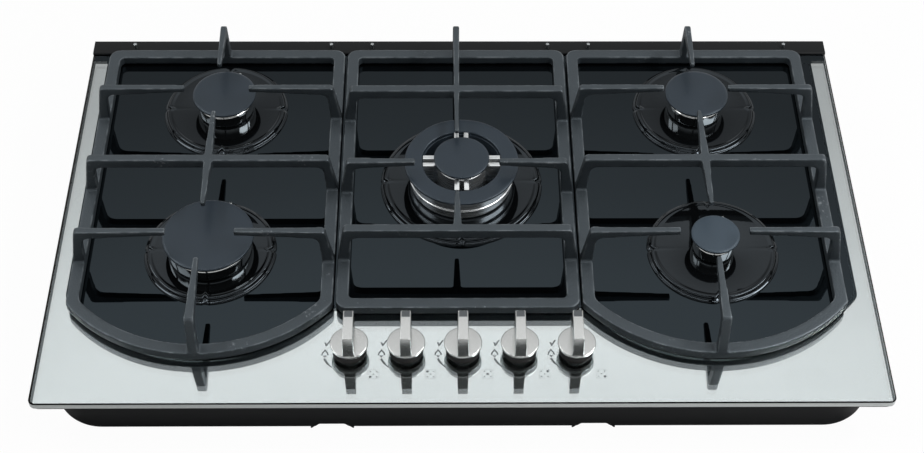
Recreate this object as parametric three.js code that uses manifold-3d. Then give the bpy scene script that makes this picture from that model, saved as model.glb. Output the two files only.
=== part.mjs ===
// A built-in five-burner gas hob: glass top on a pressed base tray, three cast pan supports,
// four side burners and a wok burner in the middle, and five push-and-turn knobs.
// Millimetres, +X to the right, +Y to the back, +Z up. The origin is the middle of the tray's underside.
import * as THREE from "three";
import { mergeVertices } from "three/addons/utils/BufferGeometryUtils.js";
import Module from "manifold-3d";

const wasm = await Module();
wasm.setup();

// ---------------------------------------------------------------- driving dimensions

// Clearances that pieces share.
const SEAT_GAP = 0.3; // left between two pieces that meet on a turned or curved face
const SLIP_GAP = 0.5; // round a piece that lifts out of another

// Glass top.
const GLASS_WIDTH = 860;
const GLASS_DEPTH = 510;
const GLASS_THICK = 8;
const GLASS_CORNER = 7;

// Base tray, pressed from sheet steel.
const TRAY_DEEP = 52; // from the glass down to the tray's underside
const TRAY_SHEET = 1.2;
const TRAY_FRONT_INSET = 10.5; // glass edge to tray wall, front and back
const TRAY_SIDE_INSET = 12;
const TRAY_CORNER = 52;
const TRAY_BOTTOM_ROUND = 5;
const TRAY_LIP = 2.5; // turned out under the glass
const TRAY_RECESS_X = 133; // middle of each raised step in the front of the floor
const TRAY_RECESS_WIDTH = 28; // at its top
const TRAY_RECESS_DEEP = 38;
const TRAY_RECESS_RISE = 8.5;
const TRAY_RECESS_SLOPE = 8; // each end widens by this down to the floor

// Foam seal between glass and worktop, and the clamps that pull the hob down.
const SEAL_THICK = 3;
const SEAL_EDGE = 2; // glass edge to seal
const CLAMP_Y = 150;
const CLAMP_FROM_FLOOR = 3;
const CLAMP_WIDTH = 22;
const CLAMP_SHEET = 2;
const CLAMP_REACH = 11;
const CLAMP_HIGH = 26;

// Rear trim on the glass, with the pins that the pan supports are set against.
const TRIM_DEEP = 20.5;
const TRIM_HIGH = 2.7;
const TRIM_BEVEL = 1.2;
const PIN_RADIUS = 2.1;
const PIN_HIGH = 5.8;
const PIN_FROM_BACK = 10.5;
const PIN_SIDE_SPREAD = 115;
const PIN_CENTRE_SPREAD = 103;

// Burner places: the side burners stand in two columns, the wok burner in the middle.
const SIDE_BURNER_OUT = 0.75; // further out than the middle of the side pan supports
const REAR_BURNER_FROM_BACK = 112.5; // of the glass
const FRONT_BURNER_FROM_FRONT = 192;
const WOK_BURNER_Y = 33;

// Burner sizes: radii of the caps and of the cups that their crowns plug into, and flame ports.
const LARGE = { cap: 48, cup: 36, ports: 16 };
const MEDIUM = { cap: 35.3, cup: 27, ports: 12 };
const SMALL = { cap: 25.6, cup: 18, ports: 8 };
const WOK = { cap: 61.8, cup: 40, ports: 16 };

// Trim discs round the burners.
const SIDE_DISC_RADIUS = 70; // at the glass
const WOK_DISC_RADIUS = 88.5;
const DISC_HIGH = 6;
const DISC_FLARE = 4; // the rolled rim is this much wider at the glass than at the top
const DISC_SHEET = 1.4;
const DISC_ROLL = 0.8; // height of the rolled edge between top and flare
const DISC_NOTCH = 2.2; // radius of the four pressed notches in the rim

// Burner cups under the glass, with the gas jet boss.
const CUP_WALL = 3;
const CUP_FLOOR = 5;
const BOSS_SIZE = 14;
const JET_HIGH = 22; // middle of the jet boss above the tray floor
const CUP_HOLE_GAP = 2; // round the cup in the glass

// Crowns and caps.
const CROWN_WALL = 5;
const CROWN_SKIRT_DEEP = 5; // plugs into the cup
const CROWN_FOOT = 1.5; // how far the wall tapers in, or the ring's foot stands out
const CROWN_FOOT_HIGH = 3;
const PORT_WIDTH = 1.6;
const PORT_DEEP = 4;
const CAP_THICK = 4;
const CAP_EDGE = 1.4;
const CAP_LIP = 3; // locates the cap inside its crown
const CAP_LIP_ROOM = 2; // left below the lip
const CAP_OVERHANG = 4;
const WOK_RING_OVERHANG = 6;
const SIDE_CAP_TOP = 30.5; // above the glass
const WOK_RING_TOP = 38.5;
const WOK_CENTRE_TOP = 44.5;
const WOK_RING_HOLE = 42.5;
const WOK_HUB_RADIUS = 27;
const HUB_FLARE = 2.5; // wider at its foot
const WOK_CENTRE_CAP_RADIUS = 29.9;
const BRIDGE_WIDTH = 4.5;
const BRIDGE_SPREAD = 5.2; // from the middle of a pair of bridges to each
const BRIDGE_DROP = 1.5; // where it meets the ring, below the ring's top
const BRIDGE_RISE = 3.5; // its inner length stands above the ring's top
const BRIDGE_SHORT = 2.4; // the raised length stops this far inside the ring cap's hole

// Knobs, their rubber collars and the taps.
const KNOB_FROM_FRONT = 64.5; // of the glass
const KNOB_PITCH = 57.3;
const KNOB_DISC_RADIUS = 19.3;
const KNOB_DISC_THICK = 3.6;
const KNOB_DISC_TOP = 14.5; // above the glass
const KNOB_HUB_RADIUS = 10.5;
const KNOB_HUB_BOTTOM = 4.5;
const KNOB_EDGE = 0.8;
const KNOB_GRIP_LONG = 36;
const KNOB_GRIP_TOP_WIDTH = 10.4;
const KNOB_GRIP_ROOT_WIDTH = 11.8;
const KNOB_TOP = 43.5;
const POINTER_WIDTH = 8.4; // the dark inset at the back end of the grip
const POINTER_LONG = 8.2;
const POINTER_RIM = 0.6;
const POINTER_DEEP = 1;
const KNOB_TRAVEL = 3; // pushed down before it turns
const COLLAR_RADIUS = 17.3;
const COLLAR_HIGH = 5.5;
const COLLAR_BORE = 12.5;
const COLLAR_EDGE = 1.8;
const SPINDLE_RADIUS = 4;
const SPINDLE_FLAT = 2.8; // from the axis to the flat of the D
const SPINDLE_TOP = 20; // above the glass
const SPINDLE_HOLE = 8; // radius in the glass
const PLUG_RADIUS = 7;
const PLUG_HIGH = 14;
const PLUG_COVER = 3; // the tap's wall above its plug
const TAP_WIDTH = 26;
const TAP_LONG = 30;
const TAP_TOP_BELOW_GLASS = 8;
const TAP_NOSE = 10; // reaches to the feed pipe
const NOSE_SIZE = 12;

// Gas rail, feed pipes and inlet.
const RAIL_RADIUS = 7.5;
const RAIL_HIGH = 13; // its middle above the tray's underside
const RAIL_OVERHANG = 22; // past the outer taps
const INLET_FROM_SIDE = 66; // of the tray
const INLET_HIGH = 30;
const INLET_BEND = 13; // radius of the rail's bends
const INLET_RISE_START = 65; // from the tray's back, where the rail begins to rise to the inlet
const INLET_RISE_END = 36.4;
const INLET_THREAD_RADIUS = 10.4;
const INLET_THREAD_LONG = 22;
const INLET_OUT = 9; // past the tray's back
const INLET_BORE = 6;
const INLET_NUT_RADIUS = 14;
const INLET_NUT_LONG = 6;
const SADDLE_LONG = 16;
const SADDLE_EDGE = 2; // wider than the rail on each side
const PIPE_RADIUS = 4;
const PIPE_BEND = 16;
const PIPE_RUN_IN = 30; // straight run into each jet boss
const PIPE_LEAD = 39; // in front of the front burners' middles, where the pipes turn outwards
const PIPE_LANE_GAP = 58; // from the large front cup to the pipe that passes it
const PIPE_LANE_START = 50; // behind the front burners' middles
const PIPE_LANE_END = 40; // in front of the rear burners' middles

// Spark generator and the mains gland.
const SPARK_BOX = [92, 46, 26];
const SPARK_BOX_X = 20;
const SPARK_BOX_FROM_BACK = 54.5; // of the tray, to the box's middle
const SPARK_TOWER_RADIUS = 5;
const SPARK_TOWER_HIGH = 6;
const GLAND_X = -60;
const GLAND_RADIUS = 9;
const GLAND_FLANGE = 12;
const GLAND_HIGH = 26;
const GLAND_OUT = 8;
const GLAND_IN = 6;
const GLAND_FLANGE_THICK = 3;
const GLAND_TAPER = 2;
const GLAND_BORE = 4.5;

// Pan supports. Their frames stand on feet; fingers rise on legs from the frames.
const FOOT_HIGH = 1.5;
const FOOT_RADIUS = 5;
const FOOT_FROM_END = 26; // feet stand this far from the ends of a frame's straight sides
const FRAME_HIGH = 10.5;
const FRAME_BAR = 13;
const FRAME_CORNER = 12;
const FRAME_INNER_CORNER = 5;
const SUPPORT_TOP = 59; // above the glass
const SUPPORT_GAP = 2.8; // between neighbouring frames
const CENTRE_SUPPORT_WIDTH = 251.4;
const SUPPORT_FROM_SIDE = 28; // glass edge to the side frames, before the row is set off
const SUPPORT_FROM_BACK = 6;
const SIDE_STRAIGHT_END_FROM_FRONT = 134;
const SIDE_ARC_FROM_FRONT = 70;
const CENTRE_FROM_KNOBS = 62.8; // from the knobs' middles to the centre frame
const SIDE_CROSSBAR_Y = 37.4;
const CENTRE_REAR_CROSSBAR_Y = 140;
const CENTRE_FRONT_CROSSBAR_Y = -60;
const CROSSBAR_WIDTH = 9.5;
const CROSSBAR_DEEP = 12;
const LEG_LEAN = 8;
const LEG_WIDTH = 14;
const LEG_FILLET = 9;
const LEG_SHOULDER = 4;
const LEG_DRAFT = 1; // how much further the leg leans below its shoulder than at its top
const LEG_SUNK = 3; // into the frame
const SIDE_FINGER = { root: 8.4, tip: 6, deep: 10, tipDeep: 6 };
const REAR_FINGER = { root: 7.5, tip: 4.8, deep: 11, tipDeep: 6 };
const FRONT_FINGER = { root: 10.4, tip: 5, deep: 12, tipDeep: 6 };
const STUB_FINGER = { root: 9, tip: 4.8, deep: 12, tipDeep: 6 };
const SIDE_FINGER_TIP = 35; // from the burner's middle
const STUB_FINGER_TIP = 36;
const WOK_SIDE_FINGER_TIP = 44.5;
const WOK_LONG_FINGER_TIP = 43;
// The three supports lie a little to the left and forward of the burners' middles, as they were set down.
const SUPPORTS_AT = [-5, -18];

// Facets of round pieces.
const ROUND = 24;
const ROUND_SMALL = 12;

// ---------------------------------------------------------------- derived places

const GLASS_UNDER = TRAY_DEEP;
const GLASS_TOP = GLASS_UNDER + GLASS_THICK;
const TRAY_HALF_X = GLASS_WIDTH / 2 - TRAY_SIDE_INSET;
const TRAY_HALF_Y = GLASS_DEPTH / 2 - TRAY_FRONT_INSET;
const KNOB_Y = KNOB_FROM_FRONT - GLASS_DEPTH / 2;
const KNOB_XS = [-2, -1, 0, 1, 2].map((step) => step * KNOB_PITCH);
const INLET_X = TRAY_HALF_X - INLET_FROM_SIDE;
const FRAME_TOP = FOOT_HIGH + FRAME_HIGH; // above the glass
const CENTRE_HALF = CENTRE_SUPPORT_WIDTH / 2;
const SIDE_SUPPORT_OUTER_X = GLASS_WIDTH / 2 - SUPPORT_FROM_SIDE;
const SIDE_SUPPORT_INNER_X = CENTRE_HALF + SUPPORT_GAP;
const SIDE_HALF = (SIDE_SUPPORT_OUTER_X - SIDE_SUPPORT_INNER_X) / 2;
const SIDE_SUPPORT_X = (SIDE_SUPPORT_OUTER_X + SIDE_SUPPORT_INNER_X) / 2;
const SUPPORT_BACK_Y = GLASS_DEPTH / 2 - SUPPORT_FROM_BACK;
const SIDE_STRAIGHT_END_Y = SIDE_STRAIGHT_END_FROM_FRONT - GLASS_DEPTH / 2;
const SIDE_ARC_FRONT_Y = SIDE_ARC_FROM_FRONT - GLASS_DEPTH / 2;
const CENTRE_FRONT_Y = KNOB_Y + CENTRE_FROM_KNOBS;
const SIDE_BURNER_X = SIDE_SUPPORT_X + SIDE_BURNER_OUT;
const REAR_BURNER_Y = GLASS_DEPTH / 2 - REAR_BURNER_FROM_BACK;
const FRONT_BURNER_Y = FRONT_BURNER_FROM_FRONT - GLASS_DEPTH / 2;

// Each burner: its place, its sizes and the radius of its trim disc at the glass.
const burners = [
  { name: "front_left", x: -SIDE_BURNER_X, y: FRONT_BURNER_Y, disc: SIDE_DISC_RADIUS, ...LARGE },
  { name: "rear_left", x: -SIDE_BURNER_X, y: REAR_BURNER_Y, disc: SIDE_DISC_RADIUS, ...MEDIUM },
  { name: "rear_right", x: SIDE_BURNER_X, y: REAR_BURNER_Y, disc: SIDE_DISC_RADIUS, ...MEDIUM },
  { name: "front_right", x: SIDE_BURNER_X, y: FRONT_BURNER_Y, disc: SIDE_DISC_RADIUS, ...SMALL },
];
const wok = { name: "wok", x: 0, y: WOK_BURNER_Y, disc: WOK_DISC_RADIUS, ...WOK };

// ---------------------------------------------------------------- materials

const paint = (color, roughness, metalness = 0) =>
  new THREE.MeshStandardMaterial({ color, roughness, metalness });
const GLASS = paint(0x1c2024, 0.05);
const BLACK_STEEL = paint(0x1b1d1f, 0.45);
const FOAM = paint(0x2b2b2b, 0.95);
const ZINC = paint(0xa7abad, 0.4, 0.9);
const CAST_IRON = paint(0x2c2e31, 0.6);
const GLOSS_ENAMEL = paint(0x15171a, 0.12);
const MATT_ENAMEL = paint(0x5a6066, 0.5);
const ALUMINIUM = paint(0xb9bcbe, 0.35, 0.9);
const SATIN_METAL = paint(0xd2d4d5, 0.32, 0.8);
const RUBBER = paint(0x161616, 0.85);
const BRASS = paint(0xb49a56, 0.35, 0.9);
const MOULDED = paint(0xd8d5cc, 0.5);

// ---------------------------------------------------------------- solid helpers

function solid(geometry) {
  const bare = geometry.clone();
  bare.deleteAttribute("normal");
  bare.deleteAttribute("uv");
  const merged = mergeVertices(bare, 1e-4);
  return new wasm.Manifold(
    new wasm.Mesh({
      numProp: 3,
      vertProperties: merged.attributes.position.array,
      triVerts: new Uint32Array(merged.index.array),
    }),
  );
}

const joined = (first, ...others) => others.reduce((whole, next) => whole.add(next), first);
const cut = (first, ...others) => others.reduce((whole, next) => whole.subtract(next), first);

function mesh(name, shape, material, x = 0, y = 0, z = 0) {
  const { vertProperties, triVerts } = shape.getMesh();
  const geometry = new THREE.BufferGeometry();
  geometry.setAttribute("position", new THREE.BufferAttribute(vertProperties, 3));
  geometry.setIndex(new THREE.BufferAttribute(triVerts, 1));
  geometry.computeVertexNormals();
  const made = new THREE.Mesh(geometry, material);
  made.name = name;
  made.position.set(x, y, z);
  return made;
}

// A box from its lowest corner to its highest.
function block(x0, y0, z0, x1, y1, z1) {
  const geometry = new THREE.BoxGeometry(x1 - x0, y1 - y0, z1 - z0);
  return solid(geometry.translate((x0 + x1) / 2, (y0 + y1) / 2, (z0 + z1) / 2));
}

// A flat outline raised from z0 to z1.
function prism(shape, z0, z1, curveSegments = 6) {
  const geometry = new THREE.ExtrudeGeometry(shape, { depth: z1 - z0, bevelEnabled: false, curveSegments });
  return solid(geometry.translate(0, 0, z0));
}

// A profile of [radius, height] points, anticlockwise from its lowest inner point, spun round the vertical.
function spun(profile, facets = ROUND) {
  const points = [...profile, profile[0]].map(([radius, height]) => new THREE.Vector2(radius, height));
  return solid(new THREE.LatheGeometry(points, facets).rotateX(Math.PI / 2));
}

function rod(radius, z0, z1, facets = ROUND_SMALL) {
  const geometry = new THREE.CylinderGeometry(radius, radius, z1 - z0, facets);
  return solid(geometry.rotateX(Math.PI / 2).translate(0, 0, (z0 + z1) / 2));
}

function roundedRect(x0, y0, x1, y1, radius, Kind = THREE.Shape) {
  const r = Math.min(radius, (x1 - x0) / 2, (y1 - y0) / 2);
  const path = new Kind();
  path.absarc(x1 - r, y1 - r, r, 0, Math.PI / 2);
  path.absarc(x0 + r, y1 - r, r, Math.PI / 2, Math.PI);
  path.absarc(x0 + r, y0 + r, r, Math.PI, 1.5 * Math.PI);
  path.absarc(x1 - r, y0 + r, r, 1.5 * Math.PI, 2 * Math.PI);
  path.closePath();
  return path;
}

// A frame between an outer and an inner rounded rectangle, both centred on the origin.
function ring(outerX, outerY, outerRadius, innerX, innerY, innerRadius, z0, z1) {
  const shape = roundedRect(-outerX, -outerY, outerX, outerY, outerRadius);
  shape.holes.push(roundedRect(-innerX, -innerY, innerX, innerY, innerRadius, THREE.Path));
  return prism(shape, z0, z1);
}

// A round tube along a polyline whose corners are rounded by bend.
function tube(points, radius, bend, sides = 8) {
  const corners = points.map((p) => new THREE.Vector3(...p));
  const path = new THREE.CurvePath();
  let from = corners[0];
  for (let i = 1; i < corners.length - 1; i += 1) {
    const [before, corner, after] = [corners[i - 1], corners[i], corners[i + 1]];
    const into = corner.clone().addScaledVector(before.clone().sub(corner).normalize(), bend);
    const out = corner.clone().addScaledVector(after.clone().sub(corner).normalize(), bend);
    path.add(new THREE.LineCurve3(from, into));
    path.add(new THREE.QuadraticBezierCurve3(into, corner, out));
    from = out;
  }
  path.add(new THREE.LineCurve3(from, corners.at(-1)));
  const stations = path.curves.flatMap((curve) =>
    (curve.isLineCurve3 ? [0] : [0, 0.25, 0.5, 0.75]).map((t) => curve.getPoint(t)));
  stations.push(corners.at(-1));
  return sweep(stations, radius, sides);
}

// Rings of points round each station, in the plane that halves the angle between its neighbours.
function sweep(stations, radius, sides) {
  const up = new THREE.Vector3(0, 0, 1);
  const rings = stations.map((at, i) => {
    const before = stations[Math.max(i - 1, 0)];
    const after = stations[Math.min(i + 1, stations.length - 1)];
    const along = after.clone().sub(before).normalize();
    const side = new THREE.Vector3().crossVectors(along, up).normalize();
    const lift = new THREE.Vector3().crossVectors(side, along);
    return Array.from({ length: sides }, (_, k) => {
      const turn = ((k + 0.5) / sides) * 2 * Math.PI;
      return at.clone()
        .addScaledVector(side, radius * Math.cos(turn))
        .addScaledVector(lift, radius * Math.sin(turn));
    });
  });
  return loft(rings, true);
}

// A closed body through rings with as many points each; the ends are closed by fans.
function loft(rings, reversed = false) {
  const count = rings[0].length;
  const positions = rings.flat().flatMap((p) => [p.x, p.y, p.z]);
  const faces = [];
  const quad = (a, b, c, d) => faces.push(a, b, c, a, c, d);
  for (let r = 0; r < rings.length - 1; r += 1) {
    for (let k = 0; k < count; k += 1) {
      const next = (k + 1) % count;
      quad(r * count + k, r * count + next, (r + 1) * count + next, (r + 1) * count + k);
    }
  }
  const last = (rings.length - 1) * count;
  for (let k = 1; k < count - 1; k += 1) {
    faces.push(0, k + 1, k);
    faces.push(last, last + k, last + k + 1);
  }
  if (reversed) faces.reverse();
  const geometry = new THREE.BufferGeometry();
  geometry.setAttribute("position", new THREE.Float32BufferAttribute(positions, 3));
  geometry.setIndex(faces);
  return solid(geometry);
}

// A profile of x and height, thickened along Y; thickAt gives the thickness at each x.
function plate(shape, thickAt, curveSegments = 4) {
  const geometry = new THREE.ExtrudeGeometry(shape, { depth: 1, bevelEnabled: false, curveSegments });
  geometry.translate(0, 0, -0.5).rotateX(Math.PI / 2);
  const at = geometry.getAttribute("position");
  for (let i = 0; i < at.count; i += 1) at.setY(i, at.getY(i) * thickAt(at.getX(i)));
  return solid(geometry);
}

// ---------------------------------------------------------------- glass, tray, seal and trim

function glassTop() {
  const shape = roundedRect(-GLASS_WIDTH / 2, -GLASS_DEPTH / 2, GLASS_WIDTH / 2, GLASS_DEPTH / 2, GLASS_CORNER);
  const hole = (x, y, radius) => rod(radius, GLASS_UNDER - 1, GLASS_TOP + 1, ROUND).translate([x, y, 0]);
  return cut(
    prism(shape, GLASS_UNDER, GLASS_TOP, 3),
    ...[...burners, wok].map((burner) => hole(burner.x, burner.y, burner.cup + CUP_HOLE_GAP)),
    ...KNOB_XS.map((x) => hole(x, KNOB_Y, SPINDLE_HOLE)),
  );
}

// The tray's outline at a height: straight walls above a rounded bottom edge.
function trayOutline(inset, height) {
  const rise = Math.min(Math.max(height, 0), TRAY_BOTTOM_ROUND);
  const drawnIn = TRAY_BOTTOM_ROUND - Math.sqrt(TRAY_BOTTOM_ROUND ** 2 - (TRAY_BOTTOM_ROUND - rise) ** 2);
  const halfX = TRAY_HALF_X - inset - drawnIn;
  const halfY = TRAY_HALF_Y - inset - drawnIn;
  const shape = roundedRect(-halfX, -halfY, halfX, halfY, TRAY_CORNER - inset - drawnIn);
  return shape.getPoints(6).slice(0, -1);
}

function pan(inset, floor, top) {
  const steps = [0, 0.13, 0.45, 1].map((share) => share * (TRAY_BOTTOM_ROUND - inset));
  const rings = steps.map((rise) =>
    trayOutline(inset, rise * (TRAY_BOTTOM_ROUND / (TRAY_BOTTOM_ROUND - inset)))
      .map((p) => new THREE.Vector3(p.x, p.y, floor + rise)));
  rings.push(trayOutline(inset, TRAY_BOTTOM_ROUND).map((p) => new THREE.Vector3(p.x, p.y, top)));
  return loft(rings);
}

// A raised step in the floor, open to the front, with sloping ends.
function recess(x, grow) {
  const half = TRAY_RECESS_WIDTH / 2 + grow;
  const shape = new THREE.Shape();
  shape.moveTo(-half - TRAY_RECESS_SLOPE, 0);
  shape.lineTo(half + TRAY_RECESS_SLOPE, 0);
  shape.lineTo(half, TRAY_RECESS_RISE + grow);
  shape.lineTo(-half, TRAY_RECESS_RISE + grow);
  return plate(shape, () => 2 * (TRAY_RECESS_DEEP + grow)).translate([x, -TRAY_HALF_Y, 0]);
}

function baseTray() {
  const recesses = [-TRAY_RECESS_X, TRAY_RECESS_X];
  const outside = cut(pan(0, 0, TRAY_DEEP), ...recesses.map((x) => recess(x, 0)));
  const inside = cut(pan(TRAY_SHEET, TRAY_SHEET, TRAY_DEEP + 1), ...recesses.map((x) => recess(x, TRAY_SHEET)));
  const lip = ring(
    TRAY_HALF_X + TRAY_LIP, TRAY_HALF_Y + TRAY_LIP, TRAY_CORNER + TRAY_LIP,
    TRAY_HALF_X - TRAY_SHEET / 2, TRAY_HALF_Y - TRAY_SHEET / 2, TRAY_CORNER,
    TRAY_DEEP - TRAY_SHEET, TRAY_DEEP,
  );
  const backHole = (x, height, radius) =>
    rod(radius, -20, 20).rotate([90, 0, 0]).translate([x, TRAY_HALF_Y, height]);
  return cut(
    joined(cut(outside, inside), lip),
    backHole(INLET_X, INLET_HIGH, INLET_THREAD_RADIUS + SLIP_GAP),
    backHole(GLAND_X, GLAND_HIGH, GLAND_RADIUS + SEAT_GAP),
  );
}

function foamSeal() {
  const outerX = GLASS_WIDTH / 2 - SEAL_EDGE;
  const outerY = GLASS_DEPTH / 2 - SEAL_EDGE;
  const round = TRAY_LIP + SEAT_GAP;
  return ring(
    outerX, outerY, GLASS_CORNER, TRAY_HALF_X + round, TRAY_HALF_Y + round, TRAY_CORNER + round,
    GLASS_UNDER - SEAL_THICK, GLASS_UNDER,
  );
}

function clamp() {
  const wall = block(0, -CLAMP_WIDTH / 2, 0, CLAMP_SHEET, CLAMP_WIDTH / 2, CLAMP_HIGH);
  const foot = block(0, -CLAMP_WIDTH / 2, 0, CLAMP_REACH, CLAMP_WIDTH / 2, CLAMP_SHEET);
  const hook = block(
    CLAMP_REACH - CLAMP_SHEET, -CLAMP_WIDTH / 2, 0, CLAMP_REACH, CLAMP_WIDTH / 2, CLAMP_SHEET * 4);
  const screw = rod(CLAMP_WIDTH / 5, 0, 2 * CLAMP_SHEET, 12)
    .rotate([0, 90, 0]).translate([0, 0, CLAMP_HIGH * 0.65]);
  return joined(wall, foot, hook, screw);
}

function rearTrim() {
  const back = GLASS_DEPTH / 2;
  const bar = new THREE.Shape();
  bar.moveTo(back, 0);
  bar.lineTo(back, TRIM_HIGH);
  bar.lineTo(back - TRIM_DEEP + TRIM_BEVEL, TRIM_HIGH);
  bar.lineTo(back - TRIM_DEEP, TRIM_HIGH - TRIM_BEVEL);
  bar.lineTo(back - TRIM_DEEP, 0);
  const strip = plate(bar, () => GLASS_WIDTH).rotate([0, 0, 90]);
  const pinXs = [
    -SIDE_BURNER_X - PIN_SIDE_SPREAD, -SIDE_BURNER_X + PIN_SIDE_SPREAD,
    -PIN_CENTRE_SPREAD, PIN_CENTRE_SPREAD,
    SIDE_BURNER_X - PIN_SIDE_SPREAD, SIDE_BURNER_X + PIN_SIDE_SPREAD,
  ];
  const pins = pinXs.map((x) =>
    rod(PIN_RADIUS, TRIM_HIGH - 1, TRIM_HIGH + PIN_HIGH, 10).translate([x, back - PIN_FROM_BACK, 0]));
  return joined(strip, ...pins);
}

// ---------------------------------------------------------------- burners
// Heights in a burner's own frame are above the glass.

function trimDisc(burner) {
  const top = burner.disc - DISC_FLARE;
  const bore = burner.cup + CUP_WALL / 3;
  const notches = [0, 1, 2, 3].map((quarter) => {
    const turn = (quarter * Math.PI) / 2;
    const at = top - DISC_NOTCH / 3;
    return rod(DISC_NOTCH, DISC_HIGH - DISC_SHEET / 2, DISC_HIGH + 1, 6)
      .translate([at * Math.cos(turn), at * Math.sin(turn), 0]);
  });
  const disc = spun([
    [bore, DISC_HIGH - DISC_SHEET],
    [top - DISC_SHEET / 2, DISC_HIGH - DISC_SHEET],
    [burner.disc - DISC_SHEET, 0],
    [burner.disc, 0],
    [top + DISC_ROLL, DISC_HIGH - DISC_ROLL],
    [top, DISC_HIGH],
    [bore, DISC_HIGH],
  ]);
  return cut(disc, ...notches);
}

// The cup stands on the tray floor, passes through the glass and carries the disc and the crown.
function burnerCup(burner) {
  const floor = TRAY_SHEET - GLASS_TOP;
  const shoulder = DISC_HIGH - DISC_SHEET;
  const rim = burner.cup + CUP_HOLE_GAP + CUP_WALL;
  return spun([
    [0, floor],
    [burner.cup, floor],
    [burner.cup, shoulder - 2 * CUP_WALL / 3],
    [rim, shoulder - CUP_WALL / 2],
    [rim, shoulder],
    [burner.cup, shoulder],
    [burner.cup, DISC_HIGH],
    [burner.cup - CUP_WALL, DISC_HIGH],
    [burner.cup - CUP_WALL, floor + CUP_FLOOR],
    [0, floor + CUP_FLOOR],
  ]);
}

function jetBoss(burner, towards) {
  const middle = TRAY_SHEET + JET_HIGH - GLASS_TOP;
  const reach = burner.cup + BOSS_SIZE / 2;
  const boss = block(
    burner.cup - CUP_WALL / 2 - 1, -BOSS_SIZE / 2, middle - BOSS_SIZE / 2,
    reach, BOSS_SIZE / 2, middle + BOSS_SIZE / 2,
  );
  return boss.rotate([0, 0, towards]);
}

function portSlots(radius, wall, top, count) {
  return Array.from({ length: count }, (_, i) =>
    block(radius - wall - 1, -PORT_WIDTH / 2, top - PORT_DEEP, radius + 1, PORT_WIDTH / 2, top + 1)
      .rotate([0, 0, (360 * (i + 0.5)) / count]));
}

function crown(burner) {
  const outer = burner.cap - CAP_OVERHANG;
  const top = SIDE_CAP_TOP - CAP_THICK;
  const plugOuter = burner.cup - CUP_WALL - SLIP_GAP;
  const body = spun([
    [plugOuter - CROWN_WALL, DISC_HIGH - CROWN_SKIRT_DEEP],
    [plugOuter, DISC_HIGH - CROWN_SKIRT_DEEP],
    [plugOuter, DISC_HIGH],
    [outer - CROWN_FOOT, DISC_HIGH],
    [outer, DISC_HIGH + CROWN_FOOT_HIGH],
    [outer, top],
    [outer - CROWN_WALL, top],
    [outer - CROWN_WALL, top - CAP_LIP - CAP_LIP_ROOM],
    [plugOuter - CROWN_WALL, DISC_HIGH + CROWN_WALL],
  ]);
  return cut(body, ...portSlots(outer, CROWN_WALL, top, burner.ports));
}

function cap(radius, top, lipRadius) {
  return spun([
    [0, top - CAP_THICK - CAP_LIP],
    [lipRadius, top - CAP_THICK - CAP_LIP],
    [lipRadius, top - CAP_THICK],
    [radius - CAP_EDGE, top - CAP_THICK],
    [radius, top - CAP_THICK + CAP_EDGE],
    [radius, top - CAP_EDGE],
    [radius - CAP_EDGE, top],
    [0, top],
  ]);
}

function wokCrown() {
  const outer = wok.cap - WOK_RING_OVERHANG;
  const inner = WOK_RING_HOLE + CAP_LIP;
  const ringTop = WOK_RING_TOP - CAP_THICK;
  const hubTop = WOK_CENTRE_TOP - CAP_THICK;
  const plugOuter = wok.cup - CUP_WALL - SLIP_GAP;
  const base = spun([
    [plugOuter - CROWN_WALL, DISC_HIGH - CROWN_SKIRT_DEEP],
    [plugOuter, DISC_HIGH - CROWN_SKIRT_DEEP],
    [plugOuter, DISC_HIGH],
    [outer + CROWN_FOOT, DISC_HIGH],
    [outer + CROWN_FOOT, DISC_HIGH + CROWN_FOOT_HIGH],
    [outer, DISC_HIGH + CROWN_FOOT_HIGH + CROWN_FOOT],
    [outer, ringTop],
    [outer - CROWN_WALL, ringTop],
    [outer - CROWN_WALL, DISC_HIGH + 2 * CROWN_WALL],
    [inner, DISC_HIGH + 2 * CROWN_WALL],
    [inner, ringTop],
    [WOK_RING_HOLE - 1, ringTop],
    [WOK_RING_HOLE - 1, DISC_HIGH + CROWN_WALL],
    [plugOuter - CROWN_WALL, DISC_HIGH + CROWN_WALL],
  ]);
  const hub = spun([
    [WOK_HUB_RADIUS - 2 * CROWN_WALL, DISC_HIGH],
    [WOK_HUB_RADIUS + HUB_FLARE, DISC_HIGH],
    [WOK_HUB_RADIUS, hubTop],
    [WOK_HUB_RADIUS - CROWN_WALL, hubTop],
    [WOK_HUB_RADIUS - CROWN_WALL, DISC_HIGH + CROWN_WALL],
    [WOK_HUB_RADIUS - 2 * CROWN_WALL, DISC_HIGH + CROWN_WALL],
  ]);
  const bridge = (turn, side, reach, top) => block(
    WOK_HUB_RADIUS - 1, side * BRIDGE_SPREAD - BRIDGE_WIDTH / 2, DISC_HIGH,
    reach, side * BRIDGE_SPREAD + BRIDGE_WIDTH / 2, top,
  ).rotate([0, 0, turn]);
  const bridges = [0, 90, 180, 270].flatMap((turn) => [-1, 1].flatMap((side) => [
    bridge(turn, side, WOK_RING_HOLE, ringTop - BRIDGE_DROP),
    bridge(turn, side, WOK_RING_HOLE - BRIDGE_SHORT, ringTop + BRIDGE_RISE),
  ]));
  return cut(joined(base, hub, ...bridges), ...portSlots(outer, CROWN_WALL, ringTop, wok.ports));
}

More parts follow.
